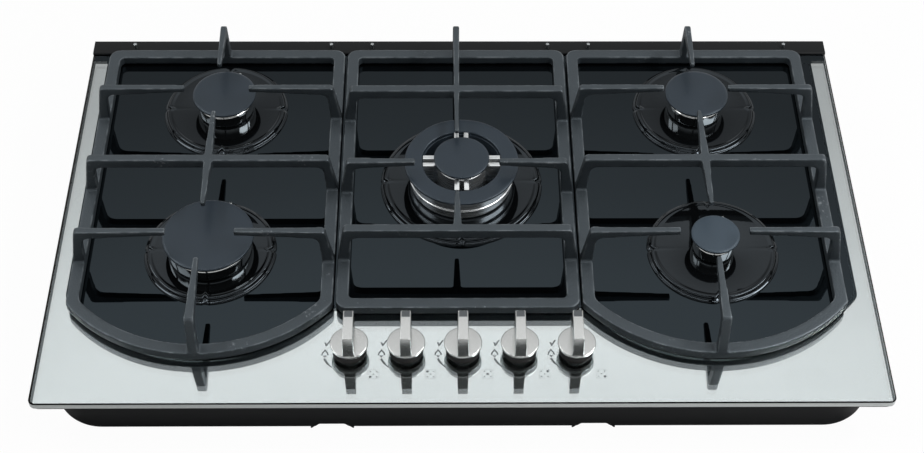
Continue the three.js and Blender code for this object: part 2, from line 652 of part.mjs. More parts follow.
function wokRingCap() {
  const outer = wok.cap;
  const under = WOK_RING_TOP - CAP_THICK;
  const lipOuter = outer - WOK_RING_OVERHANG - CROWN_WALL - SLIP_GAP;
  const lipInner = WOK_RING_HOLE + CAP_LIP + SLIP_GAP;
  return spun([
    [lipInner, under - CAP_LIP],
    [lipOuter, under - CAP_LIP],
    [lipOuter, under],
    [outer - CAP_EDGE, under],
    [outer, under + CAP_EDGE],
    [outer, WOK_RING_TOP - CAP_EDGE],
    [outer - CAP_EDGE, WOK_RING_TOP],
    [WOK_RING_HOLE + CAP_EDGE, WOK_RING_TOP],
    [WOK_RING_HOLE, WOK_RING_TOP - CAP_EDGE],
    [WOK_RING_HOLE, under],
    [lipInner, under],
  ]);
}

// ---------------------------------------------------------------- knobs and taps

function dShape(grow) {
  const radius = SPINDLE_RADIUS + grow;
  const flat = SPINDLE_FLAT + grow;
  const half = Math.acos(flat / radius);
  const shape = new THREE.Shape();
  shape.absarc(0, 0, radius, Math.PI / 2 + half, 2.5 * Math.PI - half);
  shape.closePath();
  return shape;
}

function knob() {
  const discUnder = KNOB_DISC_TOP - KNOB_DISC_THICK;
  const body = spun([
    [0, KNOB_HUB_BOTTOM],
    [KNOB_HUB_RADIUS, KNOB_HUB_BOTTOM],
    [KNOB_HUB_RADIUS, discUnder],
    [KNOB_DISC_RADIUS - KNOB_EDGE, discUnder],
    [KNOB_DISC_RADIUS, discUnder + KNOB_EDGE],
    [KNOB_DISC_RADIUS, KNOB_DISC_TOP - KNOB_EDGE],
    [KNOB_DISC_RADIUS - KNOB_EDGE, KNOB_DISC_TOP],
    [0, KNOB_DISC_TOP],
  ]);
  const root = KNOB_GRIP_ROOT_WIDTH / 2;
  const top = KNOB_GRIP_TOP_WIDTH / 2;
  const outline = new THREE.Shape();
  outline.moveTo(-root, KNOB_DISC_TOP - 1);
  outline.lineTo(root, KNOB_DISC_TOP - 1);
  outline.lineTo(top, KNOB_TOP - KNOB_EDGE);
  outline.lineTo(top - KNOB_EDGE, KNOB_TOP);
  outline.lineTo(KNOB_EDGE - top, KNOB_TOP);
  outline.lineTo(-top, KNOB_TOP - KNOB_EDGE);
  const grip = plate(outline, () => KNOB_GRIP_LONG);
  const bore = prism(dShape(SEAT_GAP), KNOB_HUB_BOTTOM - 1, SPINDLE_TOP + KNOB_TRAVEL + SEAT_GAP);
  const pointer = block(
    -POINTER_WIDTH / 2, KNOB_GRIP_LONG / 2 - POINTER_LONG, KNOB_TOP - POINTER_DEEP,
    POINTER_WIDTH / 2, KNOB_GRIP_LONG / 2 - POINTER_RIM, KNOB_TOP + 1,
  );
  return cut(joined(body, grip), bore, pointer);
}

function collar() {
  return spun([
    [COLLAR_BORE, 0],
    [COLLAR_RADIUS, 0],
    [COLLAR_RADIUS, COLLAR_HIGH - COLLAR_EDGE],
    [COLLAR_RADIUS - COLLAR_EDGE, COLLAR_HIGH],
    [COLLAR_BORE, COLLAR_HIGH],
  ], ROUND_SMALL + 4);
}

// The stem carries the knob; its plug turns inside the tap.
const PLUG_TOP = -TAP_TOP_BELOW_GLASS - GLASS_THICK;
const PLUG_BOTTOM = PLUG_TOP - PLUG_HIGH;

function spindle() {
  return joined(
    prism(dShape(0), PLUG_TOP - 1, SPINDLE_TOP),
    rod(PLUG_RADIUS, PLUG_BOTTOM, PLUG_TOP - SEAT_GAP),
  );
}

function tap() {
  const railTop = RAIL_HIGH + RAIL_RADIUS - GLASS_TOP;
  const body = block(-TAP_WIDTH / 2, -TAP_LONG / 2, railTop + SEAT_GAP, TAP_WIDTH / 2, TAP_LONG / 2, PLUG_TOP + PLUG_COVER);
  const nose = block(
    -NOSE_SIZE / 2, TAP_LONG / 2 - 1, TRAY_SHEET + JET_HIGH - GLASS_TOP - NOSE_SIZE / 2,
    NOSE_SIZE / 2, TAP_LONG / 2 + TAP_NOSE, TRAY_SHEET + JET_HIGH - GLASS_TOP + NOSE_SIZE / 2,
  );
  const plugBore = rod(PLUG_RADIUS + SLIP_GAP, PLUG_BOTTOM - SEAT_GAP, PLUG_TOP);
  const stemBore = rod(SPINDLE_RADIUS + SLIP_GAP, PLUG_TOP - 1, PLUG_TOP + PLUG_COVER + 1);
  return cut(joined(body, nose), plugBore, stemBore);
}

// ---------------------------------------------------------------- gas rail, pipes, spark box, gland

function gasRail() {
  const left = KNOB_XS[0] - RAIL_OVERHANG;
  const backWall = TRAY_HALF_Y;
  const inletEnd = backWall + INLET_OUT;
  const run = tube([
    [left, KNOB_Y, RAIL_HIGH],
    [INLET_X, KNOB_Y, RAIL_HIGH],
    [INLET_X, backWall - INLET_RISE_START, RAIL_HIGH],
    [INLET_X, backWall - INLET_RISE_END, INLET_HIGH],
    [INLET_X, backWall, INLET_HIGH],
  ], RAIL_RADIUS, INLET_BEND, 12);
  const thread = rod(INLET_THREAD_RADIUS, 0, INLET_THREAD_LONG, ROUND_SMALL)
    .rotate([-90, 0, 0]).translate([INLET_X, inletEnd - INLET_THREAD_LONG, INLET_HIGH]);
  const nut = rod(INLET_NUT_RADIUS, 0, INLET_NUT_LONG, 6).rotate([-90, 0, 0])
    .translate([INLET_X, backWall - TRAY_SHEET - SEAT_GAP - INLET_NUT_LONG, INLET_HIGH]);
  const mouth = rod(INLET_BORE, -INLET_THREAD_LONG, 1)
    .rotate([-90, 0, 0]).translate([INLET_X, inletEnd, INLET_HIGH]);
  const saddles = [KNOB_XS[0] + KNOB_PITCH / 2, KNOB_XS[4] - KNOB_PITCH / 2].map((x) =>
    block(
      x - SADDLE_LONG / 2, KNOB_Y - RAIL_RADIUS - SADDLE_EDGE, TRAY_SHEET,
      x + SADDLE_LONG / 2, KNOB_Y + RAIL_RADIUS + SADDLE_EDGE, RAIL_HIGH,
    ));
  return cut(joined(run, thread, nut, ...saddles), mouth);
}

function feedPipe(tapX, points) {
  const high = TRAY_SHEET + JET_HIGH;
  const start = [tapX, KNOB_Y + TAP_LONG / 2 + TAP_NOSE + SEAT_GAP, high];
  return tube([start, ...points.map(([x, y]) => [x, y, high])], PIPE_RADIUS, PIPE_BEND);
}

function sparkBox() {
  const [wide, deep, high] = SPARK_BOX;
  const tower = (x) => rod(SPARK_TOWER_RADIUS, high - 1, high + SPARK_TOWER_HIGH).translate([x, 0, 0]);
  return joined(
    block(-wide / 2, -deep / 2, 0, wide / 2, deep / 2, high),
    tower(-wide / 4), tower(0), tower(wide / 4),
  );
}

function mainsGland() {
  return spun([
    [GLAND_BORE, -GLAND_IN],
    [GLAND_RADIUS, -GLAND_IN],
    [GLAND_RADIUS, SEAT_GAP],
    [GLAND_FLANGE, SEAT_GAP],
    [GLAND_FLANGE, SEAT_GAP + GLAND_FLANGE_THICK],
    [GLAND_RADIUS - GLAND_TAPER, GLAND_OUT],
    [GLAND_BORE, GLAND_OUT],
  ], ROUND_SMALL);
}

// ---------------------------------------------------------------- pan supports
// Heights are above the glass. Profiles run inwards from the outer face of the frame.

const LEG_FOOT = FRAME_TOP - LEG_SUNK;

// A leg that rises from the frame and turns into a finger of the given reach.
function fingerProfile(reach, { deep, tipDeep }) {
  const shape = new THREE.Shape();
  shape.moveTo(0, LEG_FOOT);
  shape.lineTo(0, FRAME_TOP);
  shape.lineTo(LEG_LEAN - LEG_DRAFT, SUPPORT_TOP - LEG_SHOULDER);
  shape.quadraticCurveTo(LEG_LEAN, SUPPORT_TOP, LEG_LEAN + LEG_SHOULDER, SUPPORT_TOP);
  shape.lineTo(reach, SUPPORT_TOP);
  shape.lineTo(reach, SUPPORT_TOP - tipDeep);
  shape.lineTo(LEG_WIDTH + LEG_FILLET + 2, SUPPORT_TOP - deep);
  shape.quadraticCurveTo(LEG_WIDTH + 1, SUPPORT_TOP - deep, LEG_WIDTH, SUPPORT_TOP - deep - LEG_FILLET);
  shape.lineTo(FRAME_BAR, FRAME_TOP);
  shape.lineTo(FRAME_BAR, LEG_FOOT);
  return shape;
}

function legFinger(reach, size) {
  const widthAt = (x) => size.root + ((size.tip - size.root) * Math.max(x, 0)) / reach;
  return plate(fingerProfile(reach, size), widthAt);
}

// A full crossbar with a leg at each end, centred on the origin.
function crossbar(half) {
  const shape = new THREE.Shape();
  const under = SUPPORT_TOP - CROSSBAR_DEEP;
  shape.moveTo(-half, LEG_FOOT);
  shape.lineTo(-half, FRAME_TOP);
  shape.lineTo(-half + LEG_LEAN - LEG_DRAFT, SUPPORT_TOP - LEG_SHOULDER);
  shape.quadraticCurveTo(-half + LEG_LEAN, SUPPORT_TOP, -half + LEG_LEAN + LEG_SHOULDER, SUPPORT_TOP);
  shape.lineTo(half - LEG_LEAN - LEG_SHOULDER, SUPPORT_TOP);
  shape.quadraticCurveTo(half - LEG_LEAN, SUPPORT_TOP, half - LEG_LEAN + LEG_DRAFT, SUPPORT_TOP - LEG_SHOULDER);
  shape.lineTo(half, FRAME_TOP);
  shape.lineTo(half, LEG_FOOT);
  shape.lineTo(half - FRAME_BAR, LEG_FOOT);
  shape.lineTo(half - FRAME_BAR, FRAME_TOP);
  shape.lineTo(half - LEG_WIDTH, under - LEG_FILLET);
  shape.quadraticCurveTo(half - LEG_WIDTH - 1, under, half - LEG_WIDTH - LEG_FILLET, under);
  shape.lineTo(-half + LEG_WIDTH + LEG_FILLET, under);
  shape.quadraticCurveTo(-half + LEG_WIDTH + 1, under, -half + LEG_WIDTH, under - LEG_FILLET);
  shape.lineTo(-half + FRAME_BAR, FRAME_TOP);
  shape.lineTo(-half + FRAME_BAR, LEG_FOOT);
  return plate(shape, () => CROSSBAR_WIDTH);
}

// A finger that grows out of the middle of a crossbar, along +X.
function stubFinger(reach, { root, tip, deep, tipDeep }) {
  const shape = new THREE.Shape();
  shape.moveTo(0, SUPPORT_TOP);
  shape.lineTo(reach, SUPPORT_TOP);
  shape.lineTo(reach, SUPPORT_TOP - tipDeep);
  shape.lineTo(0, SUPPORT_TOP - deep);
  return plate(shape, (x) => root + ((tip - root) * x) / reach);
}

const turned = (shape, degrees, x, y) => shape.rotate([0, 0, degrees]).translate([x, y, 0]);

function feet(places) {
  return places.map(([x, y]) => rod(FOOT_RADIUS, 0, FOOT_HIGH + 1, 12).translate([x, y, 0]));
}

// The side frame: straight sides, and a front that bows out on one arc.
function sideFrameOutline(half, back, arcRadius, arcMiddle, corner, Kind) {
  const sideEnd = arcMiddle - Math.sqrt(arcRadius ** 2 - half ** 2);
  const turn = Math.asin(half / arcRadius);
  const ease = corner / arcRadius;
  const onArc = (angle) => [arcRadius * Math.sin(angle), arcMiddle - arcRadius * Math.cos(angle)];
  const path = new Kind();
  path.absarc(half - corner, back - corner, corner, 0, Math.PI / 2);
  path.absarc(-half + corner, back - corner, corner, Math.PI / 2, Math.PI);
  path.lineTo(-half, sideEnd + corner);
  path.quadraticCurveTo(-half, sideEnd, ...onArc(-turn + ease));
  path.absarc(0, arcMiddle, arcRadius, 1.5 * Math.PI - turn + ease, 1.5 * Math.PI + turn - ease);
  path.quadraticCurveTo(half, sideEnd, half, sideEnd + corner);
  path.closePath();
  return path;
}

function sideSupport() {
  const sag = SIDE_STRAIGHT_END_Y - SIDE_ARC_FRONT_Y;
  const arcRadius = (SIDE_HALF ** 2 + sag ** 2) / (2 * sag);
  const arcMiddle = SIDE_ARC_FRONT_Y + arcRadius;
  const shape = sideFrameOutline(SIDE_HALF, SUPPORT_BACK_Y, arcRadius, arcMiddle, FRAME_CORNER, THREE.Shape);
  shape.holes.push(sideFrameOutline(
    SIDE_HALF - FRAME_BAR, SUPPORT_BACK_Y - FRAME_BAR, arcRadius - FRAME_BAR, arcMiddle,
    FRAME_INNER_CORNER, THREE.Path));
  const sideReach = SIDE_HALF - SIDE_FINGER_TIP;
  const sideFingers = [REAR_BURNER_Y, FRONT_BURNER_Y].flatMap((y) => [
    turned(legFinger(sideReach, SIDE_FINGER), 0, -SIDE_HALF, y),
    turned(legFinger(sideReach, SIDE_FINGER), 180, SIDE_HALF, y),
  ]);
  const rearReach = SUPPORT_BACK_Y - REAR_BURNER_Y - SIDE_FINGER_TIP;
  const frontReach = FRONT_BURNER_Y - SIDE_FINGER_TIP - SIDE_ARC_FRONT_Y;
  const rearStub = REAR_BURNER_Y - STUB_FINGER_TIP - SIDE_CROSSBAR_Y;
  const frontStub = SIDE_CROSSBAR_Y - FRONT_BURNER_Y - STUB_FINGER_TIP;
  return joined(
    prism(shape, FOOT_HIGH, FRAME_TOP, 8),
    turned(crossbar(SIDE_HALF), 0, 0, SIDE_CROSSBAR_Y),
    ...sideFingers,
    turned(legFinger(rearReach, REAR_FINGER), -90, 0, SUPPORT_BACK_Y),
    turned(legFinger(frontReach, FRONT_FINGER), 90, 0, SIDE_ARC_FRONT_Y),
    turned(stubFinger(rearStub, STUB_FINGER), 90, 0, SIDE_CROSSBAR_Y),
    turned(stubFinger(frontStub, STUB_FINGER), -90, 0, SIDE_CROSSBAR_Y),
    ...feet([-1, 1].flatMap((side) => [SUPPORT_BACK_Y - FOOT_FROM_END, SIDE_STRAIGHT_END_Y + FOOT_FROM_END].map(
      (y) => [side * (SIDE_HALF - FRAME_BAR / 2), y]))),
  );
}

function centreSupport() {
  const shape = roundedRect(-CENTRE_HALF, CENTRE_FRONT_Y, CENTRE_HALF, SUPPORT_BACK_Y, FRAME_CORNER);
  shape.holes.push(roundedRect(
    -CENTRE_HALF + FRAME_BAR, CENTRE_FRONT_Y + FRAME_BAR, CENTRE_HALF - FRAME_BAR, SUPPORT_BACK_Y - FRAME_BAR,
    FRAME_INNER_CORNER, THREE.Path));
  const sideReach = CENTRE_HALF - WOK_SIDE_FINGER_TIP;
  const backReach = SUPPORT_BACK_Y - WOK_BURNER_Y - WOK_LONG_FINGER_TIP;
  const frontStub = WOK_BURNER_Y - WOK_LONG_FINGER_TIP - CENTRE_FRONT_CROSSBAR_Y;
  return joined(
    prism(shape, FOOT_HIGH, FRAME_TOP, 5),
    turned(crossbar(CENTRE_HALF), 0, 0, CENTRE_REAR_CROSSBAR_Y),
    turned(crossbar(CENTRE_HALF), 0, 0, CENTRE_FRONT_CROSSBAR_Y),
    turned(legFinger(sideReach, SIDE_FINGER), 0, -CENTRE_HALF, WOK_BURNER_Y),
    turned(legFinger(sideReach, SIDE_FINGER), 180, CENTRE_HALF, WOK_BURNER_Y),
    turned(legFinger(backReach, REAR_FINGER), -90, 0, SUPPORT_BACK_Y),
    turned(stubFinger(frontStub, STUB_FINGER), 90, 0, CENTRE_FRONT_CROSSBAR_Y),
    ...feet([-1, 1].flatMap((side) => [SUPPORT_BACK_Y - FOOT_FROM_END, CENTRE_FRONT_Y + FOOT_FROM_END].map(
      (y) => [side * (CENTRE_HALF - FRAME_BAR / 2), y]))),
  );
}

// ---------------------------------------------------------------- assembly

const hob = new THREE.Group();

hob.add(
  mesh("glass_top", glassTop(), GLASS),
  mesh("base_tray", baseTray(), BLACK_STEEL),
  mesh("foam_seal", foamSeal(), FOAM),
  mesh("rear_trim", rearTrim(), BLACK_STEEL, 0, 0, GLASS_TOP),
  mesh("gas_rail", gasRail(), ALUMINIUM),
  mesh("spark_box", sparkBox(), MOULDED, SPARK_BOX_X, TRAY_HALF_Y - SPARK_BOX_FROM_BACK, TRAY_SHEET),
);

for (const [name, side, end] of [
  ["clamp_front_left", -1, -1], ["clamp_rear_left", -1, 1],
  ["clamp_front_right", 1, -1], ["clamp_rear_right", 1, 1],
]) {
  const made = mesh(name, clamp(), ZINC, side * TRAY_HALF_X, end * CLAMP_Y, CLAMP_FROM_FLOOR);
  if (side < 0) made.rotation.z = Math.PI;
  hob.add(made);
}

const gland = mesh("mains_gland", mainsGland(), RUBBER, GLAND_X, TRAY_HALF_Y, GLAND_HIGH);
gland.rotation.x = -Math.PI / 2;
hob.add(gland);

// Which way each cup's jet boss faces, in degrees from +X, and the pipe's route to it from its tap.
const laneX = SIDE_BURNER_X - LARGE.cup - PIPE_LANE_GAP;
const bossEnd = (burner) => burner.cup + BOSS_SIZE / 2 + SEAT_GAP;
const frontRoute = (tapX, side) => (b) => [
  [tapX, b.y - PIPE_LEAD], [b.x - side * (bossEnd(b) + PIPE_RUN_IN), b.y], [b.x - side * bossEnd(b), b.y]];
const rearRoute = (tapX, side) => (b) => [
  [tapX, FRONT_BURNER_Y - PIPE_LEAD], [side * laneX, FRONT_BURNER_Y + PIPE_LANE_START],
  [side * laneX, b.y - PIPE_LANE_END], [b.x - side * (bossEnd(b) + PIPE_RUN_IN), b.y],
  [b.x - side * bossEnd(b), b.y]];
const feeds = {
  front_left: { tap: 0, turn: 0, route: frontRoute(KNOB_XS[0], -1) },
  rear_left: { tap: 1, turn: 0, route: rearRoute(KNOB_XS[1], -1) },
  wok: { tap: 2, turn: -90, route: (b) => [[b.x, b.y - bossEnd(b)]] },
  rear_right: { tap: 3, turn: 180, route: rearRoute(KNOB_XS[3], 1) },
  front_right: { tap: 4, turn: 180, route: frontRoute(KNOB_XS[4], 1) },
};

for (const burner of [...burners, wok]) {
  const { tap: tapIndex, turn, route } = feeds[burner.name];
  const place = new THREE.Group();
  place.position.set(burner.x, burner.y, GLASS_TOP);
  const isWok = burner === wok;
  place.add(
    mesh(`trim_disc_${burner.name}`, trimDisc(burner), GLOSS_ENAMEL),
    mesh(`burner_cup_${burner.name}`, joined(burnerCup(burner), jetBoss(burner, turn)), ALUMINIUM),
    mesh(`crown_${burner.name}`, isWok ? wokCrown() : crown(burner), isWok ? ALUMINIUM : GLOSS_ENAMEL),
  );
  if (isWok) {
    const hubBore = WOK_HUB_RADIUS - CROWN_WALL - SLIP_GAP;
    place.add(
      mesh("cap_wok_ring", wokRingCap(), MATT_ENAMEL),
      mesh("cap_wok_centre", cap(WOK_CENTRE_CAP_RADIUS, WOK_CENTRE_TOP, hubBore), MATT_ENAMEL),
    );
  } else {
    const lip = burner.cap - CAP_OVERHANG - CROWN_WALL - SLIP_GAP;
    place.add(mesh(`cap_${burner.name}`, cap(burner.cap, SIDE_CAP_TOP, lip), MATT_ENAMEL));
  }
  hob.add(place);
  hob.add(mesh(`feed_pipe_${burner.name}`, feedPipe(KNOB_XS[tapIndex], route(burner)), ALUMINIUM));
}

["front_left", "rear_left", "wok", "rear_right", "front_right"].forEach((name, i) => {
  const station = new THREE.Group();
  station.position.set(KNOB_XS[i], KNOB_Y, GLASS_TOP);
  station.add(
    mesh(`knob_${name}`, knob(), SATIN_METAL),
    mesh(`knob_collar_${name}`, collar(), RUBBER),
    mesh(`tap_spindle_${name}`, spindle(), ZINC),
    mesh(`gas_tap_${name}`, tap(), BRASS),
  );
  hob.add(station);
});

const supports = new THREE.Group();
supports.position.set(...SUPPORTS_AT, GLASS_TOP);
supports.add(
  mesh("pan_support_left", sideSupport(), CAST_IRON, -SIDE_SUPPORT_X),
  mesh("pan_support_centre", centreSupport(), CAST_IRON),
  mesh("pan_support_right", sideSupport(), CAST_IRON, SIDE_SUPPORT_X),
);
hob.add(supports);

export default hob;
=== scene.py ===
# The look of a built-in gas hob: glass top, cast pan supports, five burners, five knobs.
# Lengths are in millimetres until a mesh is made; h is a height above the glass.
import math

import bmesh
import bpy
from mathutils import Matrix, Vector
from mathutils.geometry import delaunay_2d_cdt


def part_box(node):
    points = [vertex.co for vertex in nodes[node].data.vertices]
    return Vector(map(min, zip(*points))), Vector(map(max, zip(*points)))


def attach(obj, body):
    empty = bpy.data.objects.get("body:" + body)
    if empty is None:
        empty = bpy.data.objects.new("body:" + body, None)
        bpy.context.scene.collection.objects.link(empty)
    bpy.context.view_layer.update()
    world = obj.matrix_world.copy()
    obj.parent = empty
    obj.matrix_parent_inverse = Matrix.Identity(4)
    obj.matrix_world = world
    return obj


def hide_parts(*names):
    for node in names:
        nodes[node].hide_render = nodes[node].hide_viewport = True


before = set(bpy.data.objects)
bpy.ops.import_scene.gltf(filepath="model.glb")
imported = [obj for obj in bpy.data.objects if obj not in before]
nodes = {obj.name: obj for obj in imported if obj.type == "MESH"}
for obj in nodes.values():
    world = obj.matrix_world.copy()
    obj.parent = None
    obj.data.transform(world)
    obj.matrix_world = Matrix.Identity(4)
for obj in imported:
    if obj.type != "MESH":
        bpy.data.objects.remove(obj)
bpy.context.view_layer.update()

MM = 0.001
glass_low, glass_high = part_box("glass_top")
GLASS_TOP = glass_high.z / MM
GLASS_UNDER = glass_low.z / MM
STATIONS = ["front_left", "rear_left", "wok", "rear_right", "front_right"]
# Radii of the cups that the crowns plug into.
CUPS = {"front_left": 36.0, "rear_left": 27.0, "wok": 40.0, "rear_right": 27.0, "front_right": 18.0}


def middle(node):
    low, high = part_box(node)
    return (low.x + high.x) / 2 / MM, (low.y + high.y) / 2 / MM


# ------------------------------------------------------------------ materials


def linear(hex_colour):
    """An sRGB hex colour as linear red, green, blue and alpha."""
    channels = [int(hex_colour[i:i + 2], 16) / 255 for i in (1, 3, 5)]
    return [c / 12.92 if c <= 0.04045 else ((c + 0.055) / 1.055) ** 2.4 for c in channels] + [1.0]


def feed(node, inputs):
    """Gives each socket a value, or the output that feeds it; a node stands for its first output in use."""
    for socket, value in inputs.items():
        if isinstance(value, bpy.types.Node):
            value = next(output for output in value.outputs if output.enabled)
        if isinstance(value, bpy.types.NodeSocket):
            node.id_data.links.new(value, node.inputs[socket])
        else:
            node.inputs[socket].default_value = value


def add(tree, kind, inputs=None, **settings):
    """Adds one node, with its settings first, because they decide which sockets are in use."""
    node = tree.nodes.new(kind)
    for name, value in settings.items():
        setattr(node, name, value)
    feed(node, inputs or {})
    return node


def new_surface(name, colour, roughness, metallic=0.0, **sockets):
    """A material with one shader; returns the material, its tree, the shader and the place on the piece."""
    material = bpy.data.materials.new(name)
    material.use_nodes = True
    tree = material.node_tree
    shader = tree.nodes["Principled BSDF"]
    feed(shader, {"Base Color": linear(colour), "Roughness": roughness, "Metallic": metallic})
    feed(shader, {socket.replace("_", " "): value for socket, value in sockets.items()})
    place = add(tree, "ShaderNodeTexCoord").outputs["Object"]
    return material, tree, shader, place


def two_toned(name, colour, low, high, roughness, scale, detail=2.0, metallic=0.0, **sockets):
    """A surface that drifts between two close tones; returns the drift last, for a relief."""
    material, tree, shader, place = new_surface(name, colour, roughness, metallic, **sockets)
    drift = add(tree, "ShaderNodeTexNoise", {"Vector": place, "Scale": scale, "Detail": detail})
    tone = add(tree, "ShaderNodeMix", {"Factor": drift, "A": linear(low), "B": linear(high)}, data_type="RGBA")
    feed(shader, {"Base Color": tone})
    return material, tree, shader, place, drift


def arris():
    # The pane's upper edge is a polished slant that looks out to the dark side of the room; it is painted as a
    # near-black line, a painted dark reflection.
    material, tree, shader, place = new_surface("polished_arris_painted_dark", "#040505", 0.2, Specular_IOR_Level=0.15)
    chips = add(tree, "ShaderNodeTexNoise", {"Vector": place, "Scale": 500.0, "Detail": 1.0})
    bump = add(tree, "ShaderNodeBump", {"Height": chips, "Strength": 0.1, "Distance": 0.0001})
    feed(shader, {"Normal": bump})
    return material


def silver_print():
    # Silvered print on the back of the glass: a grey mirror, cloudy over about 70 mm, and painted paler to the
    # back, a painted brightening of its reflection there.
    material, tree, shader, place = new_surface("silvered_print", "#d4d8d8", 0.02, 1.0)
    axes = add(tree, "ShaderNodeSeparateXYZ", {0: place})
    # Painted reflection: the mirror's colour grows paler from front to back.
    back = add(tree, "ShaderNodeMapRange", {
        "Value": axes.outputs["Y"], "From Min": -0.24, "From Max": 0.2, "To Min": 0.0, "To Max": 0.9})
    cloud = add(tree, "ShaderNodeTexNoise", {"Vector": place, "Scale": 14.0, "Detail": 3.0})
    share = add(tree, "ShaderNodeMapRange", {"Value": cloud, "To Min": -0.08, "To Max": 0.08})
    whole = add(tree, "ShaderNodeMath", {0: back, 1: share}, operation="ADD")
    tone = add(tree, "ShaderNodeMix", {
        "Factor": whole, "A": linear("#d6dada"), "B": linear("#f8fafa")}, data_type="RGBA")
    feed(shader, {"Base Color": tone})
    return material


def oxide_coat():
    # Reflective oxide coat on the silver border's face: the second, fainter reflection above the print's.
    material, tree, shader, place = new_surface("reflective_oxide_coat", "#dfe6e6", 0.01, 1.0, Alpha=0.075)
    drift = add(tree, "ShaderNodeTexNoise", {"Vector": place, "Scale": 9.0, "Detail": 2.0})
    depth = add(tree, "ShaderNodeMapRange", {"Value": drift, "To Min": 0.065, "To Max": 0.085})
    feed(shader, {"Alpha": depth})
    return material


def cast_iron(name, colour_low, colour_high):
    # Sand-cast iron under matt vitreous enamel: grains of about 1 mm, small pits, pale rubbed specks, and painted
    # highlights along the edges.
    material, tree, shader, place = new_surface(
        name, colour_high, 0.55, Specular_IOR_Level=0.88, Specular_Tint=(0.78, 0.91, 1.0, 1.0))
    patches = add(tree, "ShaderNodeTexNoise", {"Vector": place, "Scale": 60.0, "Detail": 4.0})
    tone = add(tree, "ShaderNodeMix", {
        "Factor": patches, "A": linear(colour_low), "B": linear(colour_high)}, data_type="RGBA")
    specks = add(tree, "ShaderNodeTexNoise", {"Vector": place, "Scale": 210.0, "Detail": 3.0, "Roughness": 0.7})
    areas = add(tree, "ShaderNodeTexNoise", {"Vector": place, "Scale": 22.0, "Detail": 1.0})
    spread = add(tree, "ShaderNodeMath", {0: specks, 1: areas}, operation="MULTIPLY")
    rubbed = add(tree, "ShaderNodeMapRange", {
        "Value": spread, "From Min": 0.41, "From Max": 0.46, "To Max": 0.5})
    worn = add(tree, "ShaderNodeMix", {
        "Factor": rubbed, "A": tone, "B": linear("#8b9094")}, data_type="RGBA")
    # Painted highlight: broken paler lines are painted along the convex edges, where rounded edges catch the
    # light.
    bend = add(tree, "ShaderNodeNewGeometry").outputs["Pointiness"]
    edge = add(tree, "ShaderNodeMapRange", {"Value": bend, "From Min": 0.515, "From Max": 0.56})
    broken = add(tree, "ShaderNodeMapRange", {
        "Value": patches, "From Min": 0.46, "From Max": 0.6, "To Min": 0.05, "To Max": 0.7})
    thin = add(tree, "ShaderNodeMath", {0: edge, 1: broken}, operation="MULTIPLY")
    worn_and_highlighted = add(tree, "ShaderNodeMix", {
        "Factor": thin, "A": worn, "B": linear("#7f8589")}, data_type="RGBA")
    feed(shader, {"Base Color": worn_and_highlighted})
    sheen = add(tree, "ShaderNodeMapRange", {"Value": patches, "To Min": 0.5, "To Max": 0.64})
    worn_smooth = add(tree, "ShaderNodeMix", {"Factor": edge, "A": sheen, "B": 0.24})
    feed(shader, {"Roughness": worn_smooth})
    grain = add(tree, "ShaderNodeTexNoise", {"Vector": place, "Scale": 850.0, "Detail": 3.0})
    pits = add(tree, "ShaderNodeTexVoronoi", {"Vector": place, "Scale": 420.0})
    relief = add(tree, "ShaderNodeMath", {0: grain, 1: pits.outputs["Distance"]}, operation="ADD")
    bump = add(tree, "ShaderNodeBump", {"Height": relief, "Strength": 0.45, "Distance": 0.0004})
    feed(shader, {"Normal": bump})
    return material


def enamel(name, low, high, roughness, ripple):
    # Vitreous enamel on pressed steel: even colour, a faint orange-peel ripple of about 4 mm.
    material, tree, shader, place, _ = two_toned(
        name, high, low, high, roughness, 35.0, 3.0, Specular_Tint=(0.76, 0.89, 1.0, 1.0))
    peel = add(tree, "ShaderNodeTexNoise", {"Vector": place, "Scale": 240.0, "Detail": 1.0})
    feed(shader, {"Normal": add(tree, "ShaderNodeBump", {"Height": peel, "Strength": ripple, "Distance": 0.0003})})
    return material


def turned_metal(name, colour, roughness, stripe, metallic=1.0):
    # Metal turned in a lathe: fine rings, drawn at 0.5 mm so that they show, which stretch the highlights.
    material, tree, shader, place = new_surface(name, colour, roughness, metallic)
    flat = add(tree, "ShaderNodeMapping", {"Vector": place, "Scale": (20.0, 20.0, 2000.0)})
    rings = add(tree, "ShaderNodeTexNoise", {"Vector": flat, "Scale": 1.0, "Detail": 2.0})
    rough = add(tree, "ShaderNodeMapRange", {
        "Value": rings, "To Min": max(roughness - stripe, 0.01), "To Max": roughness + stripe})
    feed(shader, {"Roughness": rough})
    bump = add(tree, "ShaderNodeBump", {"Height": rings, "Strength": 0.08, "Distance": 0.0002})
    feed(shader, {"Normal": bump})
    return material


def satin_nickel():
    # Die-cast zinc, bead-blasted and satin nickel plated: a soft pale sheen over a grain of 0.3 mm.
    material, tree, shader, place = new_surface("satin_nickel", "#c6c8c7", 0.26, 1.0)
    grain = add(tree, "ShaderNodeTexNoise", {"Vector": place, "Scale": 3000.0, "Detail": 1.0})
    rough = add(tree, "ShaderNodeMapRange", {"Value": grain, "To Min": 0.22, "To Max": 0.3})
    feed(shader, {"Roughness": rough})
    bump = add(tree, "ShaderNodeBump", {"Height": grain, "Strength": 0.04, "Distance": 0.0001})
    feed(shader, {"Normal": bump})
    return material


def plain(name, low, high, roughness, grain, depth, metallic=0.0, **sockets):
    """A coated, moulded or rolled surface: two close tones and a fine relief of the given grain in mm."""
    material, tree, shader, _, texture = two_toned(
        name, high, low, high, roughness, 1000.0 / grain, metallic=metallic, **sockets)
    feed(shader, {"Normal": add(tree, "ShaderNodeBump", {
        "Height": texture, "Strength": 0.3, "Distance": depth * MM})})
    return material


# Glass mirrors the room a little bluer than it is.
COOL_MIRROR = (0.64, 0.85, 1.0, 1.0)
# Clear float glass, fire-polished: sharp, slightly blue reflections, and the print shows 8 mm down.
FLOAT_GLASS = new_surface(
    "float_glass", "#f6fafb", 0.0, IOR=1.5, Transmission_Weight=1.0, Specular_Tint=COOL_MIRROR)[0]
